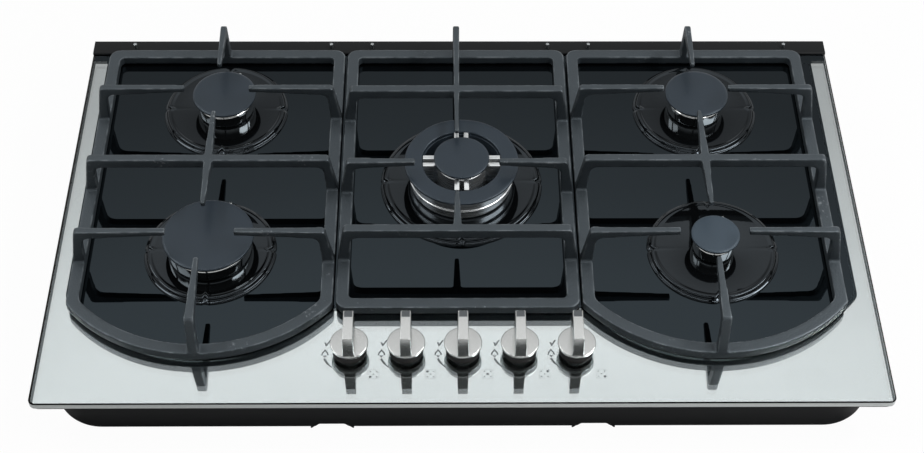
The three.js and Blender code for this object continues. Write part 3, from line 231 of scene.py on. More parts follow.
# The pane's edge is ground with a fine wheel, so it scatters light and reads as a pale line.
GROUND_EDGE = two_toned("ground_glass_edge", "#dbe3e2", "#e2e9e8", "#f6faf9", 0.5, 900.0)[0]
ARRIS = arris()
SILVER_PRINT = silver_print()
OXIDE_COAT = oxide_coat()
# Black ceramic ink fired on the back of the glass; all its gloss is the glass above it.
BLACK_PRINT = two_toned("black_ceramic_ink", "#030405", "#030404", "#040506", 0.7, 10.0, Specular_IOR_Level=0.0)[0]
# Clear black glaze on the field's face: glassy, deep black, mirroring the panel above in blue grey.
BLACK_GLAZE = two_toned(
    "glossy_black_glaze", "#020203", "#010202", "#030304", 0.0, 10.0, IOR=1.5, Specular_Tint=COOL_MIRROR)[0]
IRON = cast_iron("enamelled_cast_iron", "#191d20", "#252a2e")
CAP_ENAMEL = enamel("satin_slate_enamel", "#1f262c", "#252d36", 0.36, 0.12)
SMALL_CAP_ENAMEL = enamel("satin_grey_enamel", "#313b44", "#39444e", 0.4, 0.12)
DISC_ENAMEL = enamel("glossy_black_enamel", "#060708", "#090a0b", 0.05, 0.05)
POLISHED = turned_metal("polished_aluminium", "#c9cbca", 0.07, 0.04)
TURNED = turned_metal("turned_aluminium", "#c4c6c6", 0.3, 0.08)
BLASTED = turned_metal("blasted_aluminium_casting", "#e0e3e4", 0.27, 0.06, 0.85)
NICKEL = satin_nickel()
# Powder coat on steel: matt black with a fine leathery grain.
POWDER_COAT = plain("black_powder_coat", "#07090a", "#0c0f11", 0.5, 0.8, 0.1, Specular_IOR_Level=0.2)
# Nitrile rubber, moulded and dusted: deep black, no shine.
RUBBER = plain("black_nitrile_rubber", "#060606", "#0c0c0c", 0.62, 1.5, 0.1)
# Closed-cell foam cut from sheet: open grain at the cut.
FOAM = plain("sealing_foam", "#141414", "#202020", 0.95, 1.2, 0.4)
# Zinc plate on pressed steel: bright, a little cloudy.
ZINC = plain("zinc_plated_steel", "#9da2a4", "#b6babb", 0.34, 9.0, 0.05, 1.0)
# Machined brass: warm yellow, and softly bright.
BRASS = plain("machined_brass", "#a58a4c", "#bda262", 0.3, 6.0, 0.05, 1.0)
# Moulded thermoplastic with a fine spark-eroded texture.
MOULDING = plain("moulded_housing", "#c9c5ba", "#d6d2c8", 0.55, 0.9, 0.1)
# The marks are a thin film of grey ink on the back of the glass: dull, and seen through it.
MARK_INK = plain("grey_mark_ink", "#15181b", "#1e2226", 0.6, 0.8, 0.01)
FAINT_INK = plain("pale_grey_mark_ink", "#4a4f52", "#5c6164", 0.6, 0.8, 0.01)
# Moulded inlay of dark grey plastic: dull beside the nickel round it.
DARK_INLAY = plain("dark_grey_inlay", "#43474a", "#505558", 0.5, 0.8, 0.02)
# Glazed ceramic: off-white with a wet gloss.
CERAMIC = plain("glazed_ceramic", "#e2e0d8", "#eeece6", 0.2, 3.0, 0.02)
# Chromed steel: a bright, clear mirror.
CHROME = plain("chromed_steel", "#cfd1d2", "#d8dadb", 0.08, 12.0, 0.01, 1.0)


# ------------------------------------------------------------------ mesh tools


def rounded(corners, steps=5):
    """A closed polygon whose (x, y, radius) corners are drawn as curves that start radius away."""
    points = []
    for i, (x, y, radius) in enumerate(corners):
        here = Vector((x, y))
        if radius == 0:
            points.append(here)
            continue
        start = here + (Vector(corners[i - 1][:2]) - here).normalized() * radius
        end = here + (Vector(corners[(i + 1) % len(corners)][:2]) - here).normalized() * radius
        for k in range(steps + 1):
            t = k / steps
            points.append(start * (1 - t) ** 2 + here * 2 * t * (1 - t) + end * t * t)
    return points


def rounded_rectangle(half_x, half_y, radius, middle_x=0.0, middle_y=0.0, steps=8):
    points = []
    for corner, (sx, sy) in enumerate(((1, 1), (-1, 1), (-1, -1), (1, -1))):
        for k in range(steps + 1):
            turn = (corner + k / steps) * math.pi / 2
            points.append(Vector((
                middle_x + sx * (half_x - radius) + radius * math.cos(turn),
                middle_y + sy * (half_y - radius) + radius * math.sin(turn))))
    return points


SOFT_ANGLE = 30.0  # edges flatter than this are shaded smooth once a piece has been cut or joined


def shade(mesh, angle):
    """Turns faces outwards, and shades smooth but for edges sharper than angle."""
    work = bmesh.new()
    work.from_mesh(mesh)
    bmesh.ops.remove_doubles(work, verts=work.verts, dist=1e-7)
    bmesh.ops.recalc_face_normals(work, faces=work.faces)
    for face in work.faces:
        face.smooth = True
    for edge in work.edges:
        edge.smooth = edge.calc_face_angle(math.pi) < math.radians(angle)
    work.to_mesh(mesh)
    work.free()


def make_piece(name, mesh, material, angle=35.0):
    shade(mesh, angle)
    if not mesh.materials:
        mesh.materials.append(material)
    piece = bpy.data.objects.new(name, mesh)
    bpy.context.scene.collection.objects.link(piece)
    return piece


def mesh_of(name, points, faces):
    mesh = bpy.data.meshes.new(name)
    mesh.from_pydata([(p[0] * MM, p[1] * MM, p[2] * MM) for p in points], [], faces)
    return mesh


def stacked(loops, closed_stack=False):
    """Points and faces through loops of as many points each; the ends are capped, or joined with closed_stack."""
    count = len(loops[0])
    points = [p for loop in loops for p in loop]
    faces = []
    rows = len(loops) if closed_stack else len(loops) - 1
    for r in range(rows):
        above = (r + 1) % len(loops)
        for k in range(count):
            n = (k + 1) % count
            faces.append((r * count + k, r * count + n, above * count + n, above * count + k))
    if not closed_stack:
        faces.append(tuple(range(count)))
        faces.append(tuple((len(loops) - 1) * count + k for k in range(count)))
    return points, faces


def spun(name, profile, material, at, segments=160, dent=None):
    """A (radius, h) profile spun round the vertical through at = (x, y); it is closed, or ends on the axis."""
    loops = []
    for k in range(segments):
        turn = 2 * math.pi * k / segments
        reaches = [(max(r - dent(r, h, turn), 0.0) if dent else r, h) for r, h in profile]
        loops.append([(at[0] + r * math.cos(turn), at[1] + r * math.sin(turn), GLASS_TOP + h) for r, h in reaches])
    points, faces = stacked(loops, closed_stack=True)
    if profile[0][0] == 0:
        last = len(profile) - 1
        faces = [face for face in faces if not {face[0] % len(profile), face[1] % len(profile)} == {0, last}]
    return make_piece(name, mesh_of(name, points, faces), material)


def extruded(outline, z0, z1):
    """Points and faces of a flat outline raised from z0 to z1."""
    return stacked([[(p[0], p[1], z0) for p in outline], [(p[0], p[1], z1) for p in outline]])


def pierced(rims, holes):
    """Points and faces of a flat sheet, its edge going up through (outline, z) rims, pierced by holes."""
    points, faces = [], []

    def put(loop, z):
        points.extend((p[0], p[1], z) for p in loop)
        return len(points) - len(loop)

    def wall(low, z0, high, z1):
        a, b, count = put(low, z0), put(high, z1), len(low)
        faces.extend((a + k, a + (k + 1) % count, b + (k + 1) % count, b + k) for k in range(count))

    for (low, z0), (high, z1) in zip(rims, rims[1:]):
        wall(low, z0, high, z1)
    for hole in holes:
        wall(hole, rims[0][1], hole, rims[-1][1])
    for outline, z in (rims[0], rims[-1]):
        flat, edges = [], []
        for loop in [outline] + holes:
            first, count = len(flat), len(loop)
            flat += loop
            edges += [(first + k, first + (k + 1) % count) for k in range(count)]
        flat, _, triangles = delaunay_2d_cdt(flat, edges, [], 2, 1e-5)[:3]
        first = put(flat, z)
        faces.extend(tuple(first + i for i in triangle) for triangle in triangles)
    return points, faces


def plate(profile, width_at, turn, x, y):
    """A (reach, h) profile, width_at(reach) thick, turned about the vertical and set at x, y."""
    spin = Matrix.Rotation(math.radians(turn), 3, "Z")
    sides = []
    for side in (-0.5, 0.5):
        row = []
        for reach, h in profile:
            p = spin @ Vector((reach, side * width_at(reach), 0.0))
            row.append((p.x + x, p.y + y, GLASS_TOP + h))
        sides.append(row)
    return stacked(sides)


def gather(parts):
    """Joins several (points, faces) into one."""
    points, faces = [], []
    for part_points, part_faces in parts:
        shift = len(points)
        points += list(part_points)
        faces += [tuple(i + shift for i in face) for face in part_faces]
    return points, faces


def bake(piece):
    """Applies the piece's modifiers, which leaves a plain mesh."""
    bpy.context.view_layer.update()
    evaluated = piece.evaluated_get(bpy.context.evaluated_depsgraph_get())
    mesh = bpy.data.meshes.new_from_object(evaluated)
    piece.modifiers.clear()
    piece.data = mesh
    shade(mesh, SOFT_ANGLE)


def new_group(name, **inputs):
    """A geometry tree with inputs of the given kinds; returns it and the sockets that it is given."""
    tree = bpy.data.node_groups.new(name, "GeometryNodeTree")
    for label, kind in inputs.items():
        tree.interface.new_socket(label, in_out="INPUT", socket_type=f"NodeSocket{kind}")
    tree.interface.new_socket("Geometry", in_out="OUTPUT", socket_type="NodeSocketGeometry")
    return tree, add(tree, "NodeGroupInput").outputs


def run_group(piece, tree, **values):
    modifier = piece.modifiers.new(tree.name, "NODES")
    modifier.node_group = tree
    keys = {item.name: item.identifier for item in tree.interface.items_tree if item.in_out == "INPUT"}
    for label, value in values.items():
        modifier[keys[label]] = value
    bake(piece)


def repeat_tree():
    """Stands a copy of the pattern on every point, and makes one plain mesh of them."""
    tree, given = new_group("repeat_on_points", Points="Geometry", Pattern="Object", Material="Material")
    pattern = add(tree, "GeometryNodeObjectInfo", {"Object": given["Pattern"]})
    copies = add(tree, "GeometryNodeInstanceOnPoints", {
        "Points": given["Points"], "Instance": pattern.outputs["Geometry"]})
    real = add(tree, "GeometryNodeRealizeInstances", {0: copies})
    painted = add(tree, "GeometryNodeSetMaterial", {"Geometry": real, "Material": given["Material"]})
    add(tree, "NodeGroupOutput", {0: painted})
    return tree


REPEAT = repeat_tree()


def repeat(name, pattern, places, material, slot="glass"):
    """One piece made of a copy of pattern, which is (points, faces), at each of the places."""
    model = bpy.data.objects.new("pattern", mesh_of("pattern", *pattern))
    piece = bpy.data.objects.new(name, mesh_of(name, places, []))
    for made in (model, piece):
        bpy.context.scene.collection.objects.link(made)
    run_group(piece, REPEAT, Pattern=model, Material=material)
    bpy.data.objects.remove(model)
    settle(piece, "hob", slot)


def tool(part):
    """A closed body, given as (points, faces), that is only used to join to or cut from a piece."""
    mesh = mesh_of("tool", *part)
    shade(mesh, SOFT_ANGLE)
    made = bpy.data.objects.new("tool", mesh)
    bpy.context.scene.collection.objects.link(made)
    return made


def upright(outline, low, high):
    """An upright bar to cut with, between two heights above the glass."""
    return tool(extruded(outline, GLASS_TOP + low, GLASS_TOP + high))


def boolean(piece, other, operation):
    """Joins, or cuts, piece with other, which is used up."""
    modifier = piece.modifiers.new("boolean", "BOOLEAN")
    modifier.operation = operation
    modifier.solver = "MANIFOLD"
    modifier.object = other
    bake(piece)
    bpy.data.objects.remove(other)


def soften_edges(piece, width, segments, angle):
    bevel = piece.modifiers.new("rounding", "BEVEL")
    bevel.width = width * MM
    bevel.segments = segments
    bevel.limit_method = "ANGLE"
    bevel.angle_limit = math.radians(angle)
    bevel.harden_normals = False
    bake(piece)


def settle(piece, body, slot, *replaced):
    """Puts a finished piece on its body, and hides the parts that it replaces; slot is not used."""
    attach(piece, body)
    if replaced:
        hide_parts(*replaced)


def settle_part(name, part, material, body, slot, *replaced):
    """A piece made at once from (points, faces)."""
    settle(make_piece(name, mesh_of(name, *part), material), body, slot, *replaced)


# ------------------------------------------------------------------ camera, light and floor

CAMERA_PITCH = 0.876924
CAMERA_YAW = 0.01628
CAMERA_ROLL = 0.010966
CAMERA_AT = (-18.28, -1169.68, 1372.92)  # from the middle of the glass's top face
FOCAL_PIXELS = 1661.95
FRAME_PIXELS = 924
SENSOR_WIDTH = 36.0
# How bright the room is at a direction's height, from the horizon (0) to straight up (1).
PANEL_STOPS = (
    (0.0, 0.07), (0.35, 0.12), (0.64, 0.3), (0.71, 0.48), (0.75, 0.72), (0.785, 1.0), (0.81, 1.1), (1.0, 1.0))
FLOOR_REACH = 6000
FLOOR_DROP = 0.5  # below the tray's underside
PAPER_GLOW = 0.97  # of the paper seen by the camera; the rest carries the shadow


def set_camera():
    ahead = Vector((
        math.sin(CAMERA_YAW) * math.cos(CAMERA_PITCH),
        math.cos(CAMERA_YAW) * math.cos(CAMERA_PITCH), -math.sin(CAMERA_PITCH)))
    right = Vector((math.cos(CAMERA_YAW), -math.sin(CAMERA_YAW), 0.0))
    up = right.cross(ahead)
    rolled_right = right * math.cos(CAMERA_ROLL) + up * math.sin(CAMERA_ROLL)
    rolled_up = up * math.cos(CAMERA_ROLL) - right * math.sin(CAMERA_ROLL)
    data = bpy.data.cameras.new("camera")
    data.sensor_width = SENSOR_WIDTH
    data.lens = FOCAL_PIXELS * SENSOR_WIDTH / FRAME_PIXELS
    camera = bpy.data.objects.new("camera", data)
    x, y, z = CAMERA_AT
    turn = Matrix((rolled_right, rolled_up, -ahead)).transposed().to_4x4()
    camera.matrix_world = Matrix.Translation(Vector((x, y, z + GLASS_TOP)) * MM) @ turn
    bpy.context.scene.collection.objects.link(camera)
    bpy.context.scene.camera = camera


def softbox(name, at, aim, size_x, size_y, brightness):
    """A rectangular lamp of size_x by size_y metres whose face has the given brightness."""
    data = bpy.data.lights.new(name, "AREA")
    data.shape = "RECTANGLE"
    data.size = size_x
    data.size_y = size_y
    data.energy = brightness * math.pi * size_x * size_y
    lamp = bpy.data.objects.new(name, data)
    lamp.location = at
    lamp.rotation_euler = (Vector(aim) - Vector(at)).to_track_quat("-Z", "Y").to_euler()
    bpy.context.scene.collection.objects.link(lamp)


def set_light():
    scene = bpy.context.scene
    scene.view_settings.view_transform = "Standard"
    world = bpy.data.worlds.new("studio")
    world.use_nodes = True
    scene.world = world
    tree = world.node_tree
    room = tree.nodes["Background"]
    # A white panel overhead and behind, fading down to a dark room, and darker on the camera's side.
    place = add(tree, "ShaderNodeTexCoord").outputs["Generated"]
    axes = add(tree, "ShaderNodeSeparateXYZ", {0: place})
    height = add(tree, "ShaderNodeValToRGB", {0: axes.outputs["Z"]})
    stops = height.color_ramp.elements
    while len(stops) < len(PANEL_STOPS):
        stops.new(1.0)
    for stop, (level, grey) in zip(stops, PANEL_STOPS):
        stop.position = level
        stop.color = (grey, grey, grey, 1.0)
    behind = add(tree, "ShaderNodeMapRange", {
        "Value": axes.outputs["Y"], "From Min": -0.15, "From Max": 0.2, "To Min": 0.05, "To Max": 1.0})
    light = add(tree, "ShaderNodeMath", {0: height, 1: behind}, operation="MULTIPLY")
    # Metal and glass see the pale walls of the room too, below the panel and all round.
    path = add(tree, "ShaderNodeLightPath").outputs
    wall = add(tree, "ShaderNodeMapRange", {
        "Value": axes.outputs["Z"], "From Min": 0.54, "From Max": 0.66, "To Min": 0.9, "To Max": 0.0})
    mirrored = add(tree, "ShaderNodeMath", {0: light, 1: wall}, operation="MAXIMUM")
    room_light = add(tree, "ShaderNodeMix", {
        "Factor": path["Is Glossy Ray"], "A": light, "B": mirrored})
    white = add(tree, "ShaderNodeMix", {"Factor": path["Is Camera Ray"], "A": room_light, "B": 1.0})
    feed(room, {"Color": white})
    softbox("overhead_strip", (0.0, -0.2, 1.5), (0.0, 0.0, 0.06), 1.6, 0.06, 10.0)
    softbox("right_softbox", (1.12, -0.25, 1.3), (0.0, 0.0, 0.06), 1.3, 0.3, 15.0)
    softbox("left_softbox", (-1.12, 0.1, 1.3), (0.0, 0.0, 0.06), 1.3, 0.3, 5.0)


def lay_floor():
    points = [(x * FLOOR_REACH, y * FLOOR_REACH, -FLOOR_DROP) for x, y in ((-1, -1), (1, -1), (1, 1), (-1, 1))]
    mesh = mesh_of("floor", points, [(0, 1, 2, 3)])
    material = bpy.data.materials.new("white_paper_floor")
    material.use_nodes = True
    tree = material.node_tree
    paper = tree.nodes["Principled BSDF"]
    feed(paper, {"Base Color": linear("#d4d4d4"), "Roughness": 0.9})
    # The paper is seen as white where nothing shades it, and keeps the object's shadow.
    seen = add(tree, "ShaderNodeLightPath").outputs["Is Camera Ray"]
    share = add(tree, "ShaderNodeMath", {0: seen, 1: PAPER_GLOW}, operation="MULTIPLY")
    glow = add(tree, "ShaderNodeEmission", {"Color": (1.0, 1.0, 1.0, 1.0), "Strength": 1.0})
    both = add(tree, "ShaderNodeMixShader", {0: share, 1: paper, 2: glow})
    feed(tree.nodes["Material Output"], {"Surface": both})
    mesh.materials.append(material)
    floor = bpy.data.objects.new("floor", mesh)
    bpy.context.scene.collection.objects.link(floor)


# ------------------------------------------------------------------ glass top

GLASS_CORNER = 7.0
INK_THICK = 0.25
COAT_THICK = 0.05
MARK_THICK = 0.04
ARRIS_SIDE = 2.0  # the arris is ground wider along the sides than in front, and widest at the left
ARRIS_SHIFT = 0.4
ARRIS_FRONT = 1.3
ARRIS_DEEP = 1.0
PRINT_INSET = 0.7
LOWER_EDGE_INSET = 0.6
LOWER_EDGE_HIGH = 0.8
GLAZE_SHORT = 4.0  # the glaze stops this far inside the black print's edge
BURNER_HOLE_GAP = 2.0
KNOB_HOLE_RADIUS = 8.0
FIELD_BACK_CUT = 5.0
FIELD_CORNER = 7.0
FIELD_EASE = 0.05  # of a radian, where the side's corner runs into the bow
FIELD_RUN = 40.0
BLACK_HALF_X = 412.5
BLACK_MARGIN = 8.0
SILVER_BACK = 224.0


def ring_of_holes(node, radii):
    return [rounded_rectangle(r, r, r, *middle(f"{node}_{name}"), 24) for name, r in radii.items()]


def make_glass():
    half_x, half_y = glass_high.x / MM, glass_high.y / MM
    burner_holes = ring_of_holes("crown", {name: r + BURNER_HOLE_GAP for name, r in CUPS.items()})
    knob_holes = ring_of_holes("knob_collar", {name: KNOB_HOLE_RADIUS for name in STATIONS})
    rims = [(rounded_rectangle(half_x - side, half_y - front, GLASS_CORNER - side, shift), z)
            for side, front, shift, z in (
                (LOWER_EDGE_INSET, LOWER_EDGE_INSET, 0.0, GLASS_UNDER + INK_THICK / 2),
                (0.0, 0.0, 0.0, GLASS_UNDER + LOWER_EDGE_HIGH), (0.0, 0.0, 0.0, GLASS_TOP - ARRIS_DEEP),
                (ARRIS_SIDE, ARRIS_FRONT, ARRIS_SHIFT, GLASS_TOP))]
    mesh = mesh_of("glass_pane", *pierced(rims, burner_holes + knob_holes))
    for material in (FLOAT_GLASS, GROUND_EDGE, ARRIS):
        mesh.materials.append(material)
    arris_low = (GLASS_TOP - ARRIS_DEEP - 0.1) * MM
    for polygon in mesh.polygons:
        if len(polygon.vertices) == 4:
            lowest = min(mesh.vertices[i].co.z for i in polygon.vertices)
            polygon.material_index = 2 if lowest > arris_low else 1
    settle(make_piece("glass_pane", mesh, FLOAT_GLASS, 12.0), "hob", "glass", "glass_top")

    # The black field reaches the sides only under the rear trim; in front it bows round the pan supports.
    # The glaze stops short of the print below, so that the print's edge is seen through clear glass.
    front, glaze_edge = black_front(0.0), black_front(GLAZE_SHORT)

    def silver_edge(side_inset, front_inset):
        side = half_x - side_inset
        border = rounded_rectangle(side, half_y - front_inset, GLASS_CORNER - side_inset)
        return [Vector((-side, SILVER_BACK))] + border[len(border) // 2:] + [Vector((side, SILVER_BACK))] + front

    side, back = half_x - PRINT_INSET, half_y - PRINT_INSET
    corner = [(side - FIELD_BACK_CUT, back), (side, back - FIELD_BACK_CUT), (side, SILVER_BACK)]
    black_edge = [Vector(p) for p in corner] + front + [Vector((-x, y)) for x, y in reversed(corner)]
    print_span = (GLASS_UNDER, GLASS_UNDER + INK_THICK)
    coat_span = (GLASS_TOP + 0.005, GLASS_TOP + COAT_THICK)
    coat_edge = silver_edge(ARRIS_SIDE + ARRIS_SHIFT, ARRIS_FRONT)
    for name, edge, holes, (low, high), material in (
            ("silver_border", silver_edge(PRINT_INSET, PRINT_INSET), knob_holes, print_span, SILVER_PRINT),
            ("black_field", black_edge, burner_holes, print_span, BLACK_PRINT),
            ("black_glaze", glaze_edge, burner_holes, coat_span, BLACK_GLAZE),
            ("oxide_coat", coat_edge, knob_holes, coat_span, OXIDE_COAT)):
        settle_part(name, pierced([(edge, low), (edge, high)], holes), material, "hob", "glass")


def black_front(inset):
    """The black field's edge from right to left: down the side, a bow, a straight middle, and up again."""
    side_x = (middle("pan_support_right")[0] - middle("pan_support_left")[0]) / 2
    half_wide = BLACK_HALF_X - inset
    radius = ARC_RADIUS + BLACK_MARGIN - inset
    arc_y = SIDE_ARC_FRONT_Y + ARC_RADIUS
    start = math.asin((half_wide - side_x) / radius)
    stop = math.acos((arc_y - (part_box("pan_support_centre")[0].y / MM + BLACK_MARGIN + inset)) / radius)
    corner_y = arc_y - radius * math.cos(start)
    turn = start - FIELD_EASE
    right = [Vector((half_wide, SILVER_BACK - inset))] + rounded([
        (half_wide, corner_y + FIELD_RUN, 0), (half_wide, corner_y, FIELD_CORNER),
        (side_x + radius * math.sin(turn), arc_y - radius * math.cos(turn), 0)])
    steps = 40
    for k in range(1, steps + 1):
        here = turn + (-stop - turn) * k / steps
        right.append(Vector((side_x + radius * math.sin(here), arc_y - radius * math.cos(here))))
    return right + [Vector((-p.x, p.y)) for p in reversed(right)]


# ------------------------------------------------------------------ pan supports

FOOT_HIGH = 1.5
FRAME_TOP = 12.0
SUPPORT_TOP = 59.0
FRAME_BAR = 13.0
FRAME_CORNER = 12.0
SIDE_STRAIGHT_END_Y = -121.0
SIDE_ARC_FRONT_Y = -185.0
SUPPORT_BACK_Y = 249.0
CENTRE_FRONT_Y = -127.7
SIDE_HALF = 136.75
CENTRE_HALF = 125.7
SAG = SIDE_STRAIGHT_END_Y - SIDE_ARC_FRONT_Y
ARC_RADIUS = (SIDE_HALF ** 2 + SAG ** 2) / (2 * SAG)
BURNER_ROWS = {"rear": 142.5, "front": -63.0, "wok": 33.0}
SIDE_CROSSBAR_Y = 37.4
CENTRE_CROSSBARS_Y = (140.0, -60.0)
LEG_LEAN = 8.0
LEG_WIDTH = 14.0
LEG_FILLET = 9.0
CROSSBAR_WIDTH = 9.5
CROSSBAR_DEEP = 12.0
FOOT_FROM_END = 26.0  # feet stand this far from the ends of a frame's straight sides
INNER_CORNER = 5.0
FRONT_CORNER = 3.0
SIDE_TIP, STUB_TIP = 35.0, 36.0  # from the burner's middle to the fingers' tips
WOK_SIDE_TIP, WOK_LONG_TIP = 44.5, 43.0
# Each finger's width at its root and tip, and its depth at both.
SIDE_FINGER = (8.4, 6.0, 10.0, 6.0)
REAR_FINGER = (7.5, 4.8, 11.0, 6.0)
FRONT_FINGER = (10.4, 5.0, 12.0, 6.0)
STUB_FINGER = (9.0, 4.8, 12.0, 6.0)
CASTING_VOXEL = 1.1


def finger_profile(reach, deep, tip_deep):
    """Leg and finger in one, from the frame's outer face inwards."""
    top = SUPPORT_TOP
    return rounded([
        (0.0, FRAME_TOP - 4, 0), (0.3, FRAME_TOP, 0),
        (LEG_LEAN, top, 4.0),
        (reach, top, 1.2), (reach - 0.6, top - tip_deep, 1.0),
        (LEG_WIDTH + 1.0, top - deep, LEG_FILLET),
        (FRAME_BAR, FRAME_TOP, 0), (FRAME_BAR, FRAME_TOP - 4, 0),
    ])


def crossbar_profile(half):
    top = SUPPORT_TOP
    return rounded([
        (-half, FRAME_TOP - 4, 0), (-half + 0.3, FRAME_TOP, 0), (-half + LEG_LEAN, top, 4.0),
        (half - LEG_LEAN, top, 4.0), (half - 0.3, FRAME_TOP, 0), (half, FRAME_TOP - 4, 0),
        (half - FRAME_BAR, FRAME_TOP - 4, 0), (half - FRAME_BAR, FRAME_TOP, 0),
        (half - LEG_WIDTH - 1.0, top - CROSSBAR_DEEP, LEG_FILLET),
        (-half + LEG_WIDTH + 1.0, top - CROSSBAR_DEEP, LEG_FILLET),
        (-half + FRAME_BAR, FRAME_TOP, 0), (-half + FRAME_BAR, FRAME_TOP - 4, 0),
    ])


def stub_profile(reach, deep, tip_deep):
    top = SUPPORT_TOP
    return rounded([(0.0, top, 0), (reach, top, 1.2), (reach - 0.6, top - tip_deep, 1.0), (0.0, top - deep, 0)])


def finger(profile, shape, reach, turn, x, y):
    """A finger of the given profile and shape that narrows along its reach."""
    root, tip, deep, tip_deep = shape
    return plate(
        profile(reach, deep, tip_deep), lambda along: root + (tip - root) * max(along, 0.0) / reach, turn, x, y)


def ring_bar(outer, inner, z0, z1):
    """A flat ring with upright sides between two loops of as many points."""
    def loop(points, z):
        return [(p.x, p.y, z) for p in points]
    return stacked([loop(outer, z0), loop(outer, z1), loop(inner, z1), loop(inner, z0)], closed_stack=True)


def bowed_outline(half, back, radius, arc_middle, corner, front_corner):
    """Straight back and sides, and one arc across the front."""
    steps, arc_steps = 8, 64
    side_end = arc_middle - math.sqrt(radius ** 2 - half ** 2)
    turn = math.asin(half / radius)
    ease = front_corner / radius
    points = []

    def on_arc(a):
        return Vector((radius * math.sin(a), arc_middle - radius * math.cos(a)))

    for sign, start in ((1, 0.0), (-1, math.pi / 2)):
        for k in range(steps + 1):
            a = start + k / steps * math.pi / 2
            points.append(Vector((
                sign * (half - corner) + corner * math.cos(a), back - corner + corner * math.sin(a))))
    for sign in (-1, 1):
        here = Vector((sign * half, side_end))
        a, b = here + Vector((0.0, front_corner)), on_arc(sign * (turn - ease))
        if sign == 1:
            a, b = b, a
        for k in range(steps + 1):
            t = k / steps
            points.append(a * (1 - t) ** 2 + here * 2 * t * (1 - t) + b * t * t)
        if sign == -1:
            for k in range(1, arc_steps):
                points.append(on_arc(-turn + ease + 2 * (turn - ease) * k / arc_steps))
    return points


def moved(part, x, y):
    points, faces = part
    return [(p[0] + x, p[1] + y, p[2]) for p in points], faces


def cast(name, parts, x, y, body):
    """Fuses the bars into one casting with soft edges, as the sand mould leaves them."""
    points, faces = moved(gather(parts), x, y)
    mesh = mesh_of(name, points, faces)
    work = bmesh.new()
    work.from_mesh(mesh)
    bmesh.ops.triangulate(work, faces=work.faces)
    bmesh.ops.recalc_face_normals(work, faces=work.faces)
    work.to_mesh(mesh)
    work.free()
    piece = bpy.data.objects.new(name, mesh)
    bpy.context.scene.collection.objects.link(piece)
    fuse = piece.modifiers.new("fuse", "REMESH")
    fuse.mode = "VOXEL"
    fuse.voxel_size = CASTING_VOXEL * MM
    smooth = piece.modifiers.new("soften", "SMOOTH")
    smooth.factor = 0.5
    smooth.iterations = 4
    bake(piece)
    for polygon in piece.data.polygons:
        polygon.use_smooth = True
    piece.data.materials.append(IRON)
    settle(piece, body, "cast_iron", body)


def boots(name, half, ends, x, y, body):
    """Rubber boots under the casting's feet, near both ends of its two sides."""
    places = [(side * (half - FRAME_BAR / 2), end) for side in (-1, 1) for end in ends]
    parts = [moved(stacked([
        [(p.x, p.y, GLASS_TOP + h) for p in rounded_rectangle(r, r, r, 0, 0, 6)]
        for r, h in ((4.6, 0.02), (5.2, 0.5), (5.2, 2.2), (4.8, 2.6))]), px + x, py + y) for px, py in places]
    settle_part(name, gather(parts), RUBBER, body, "rubber")


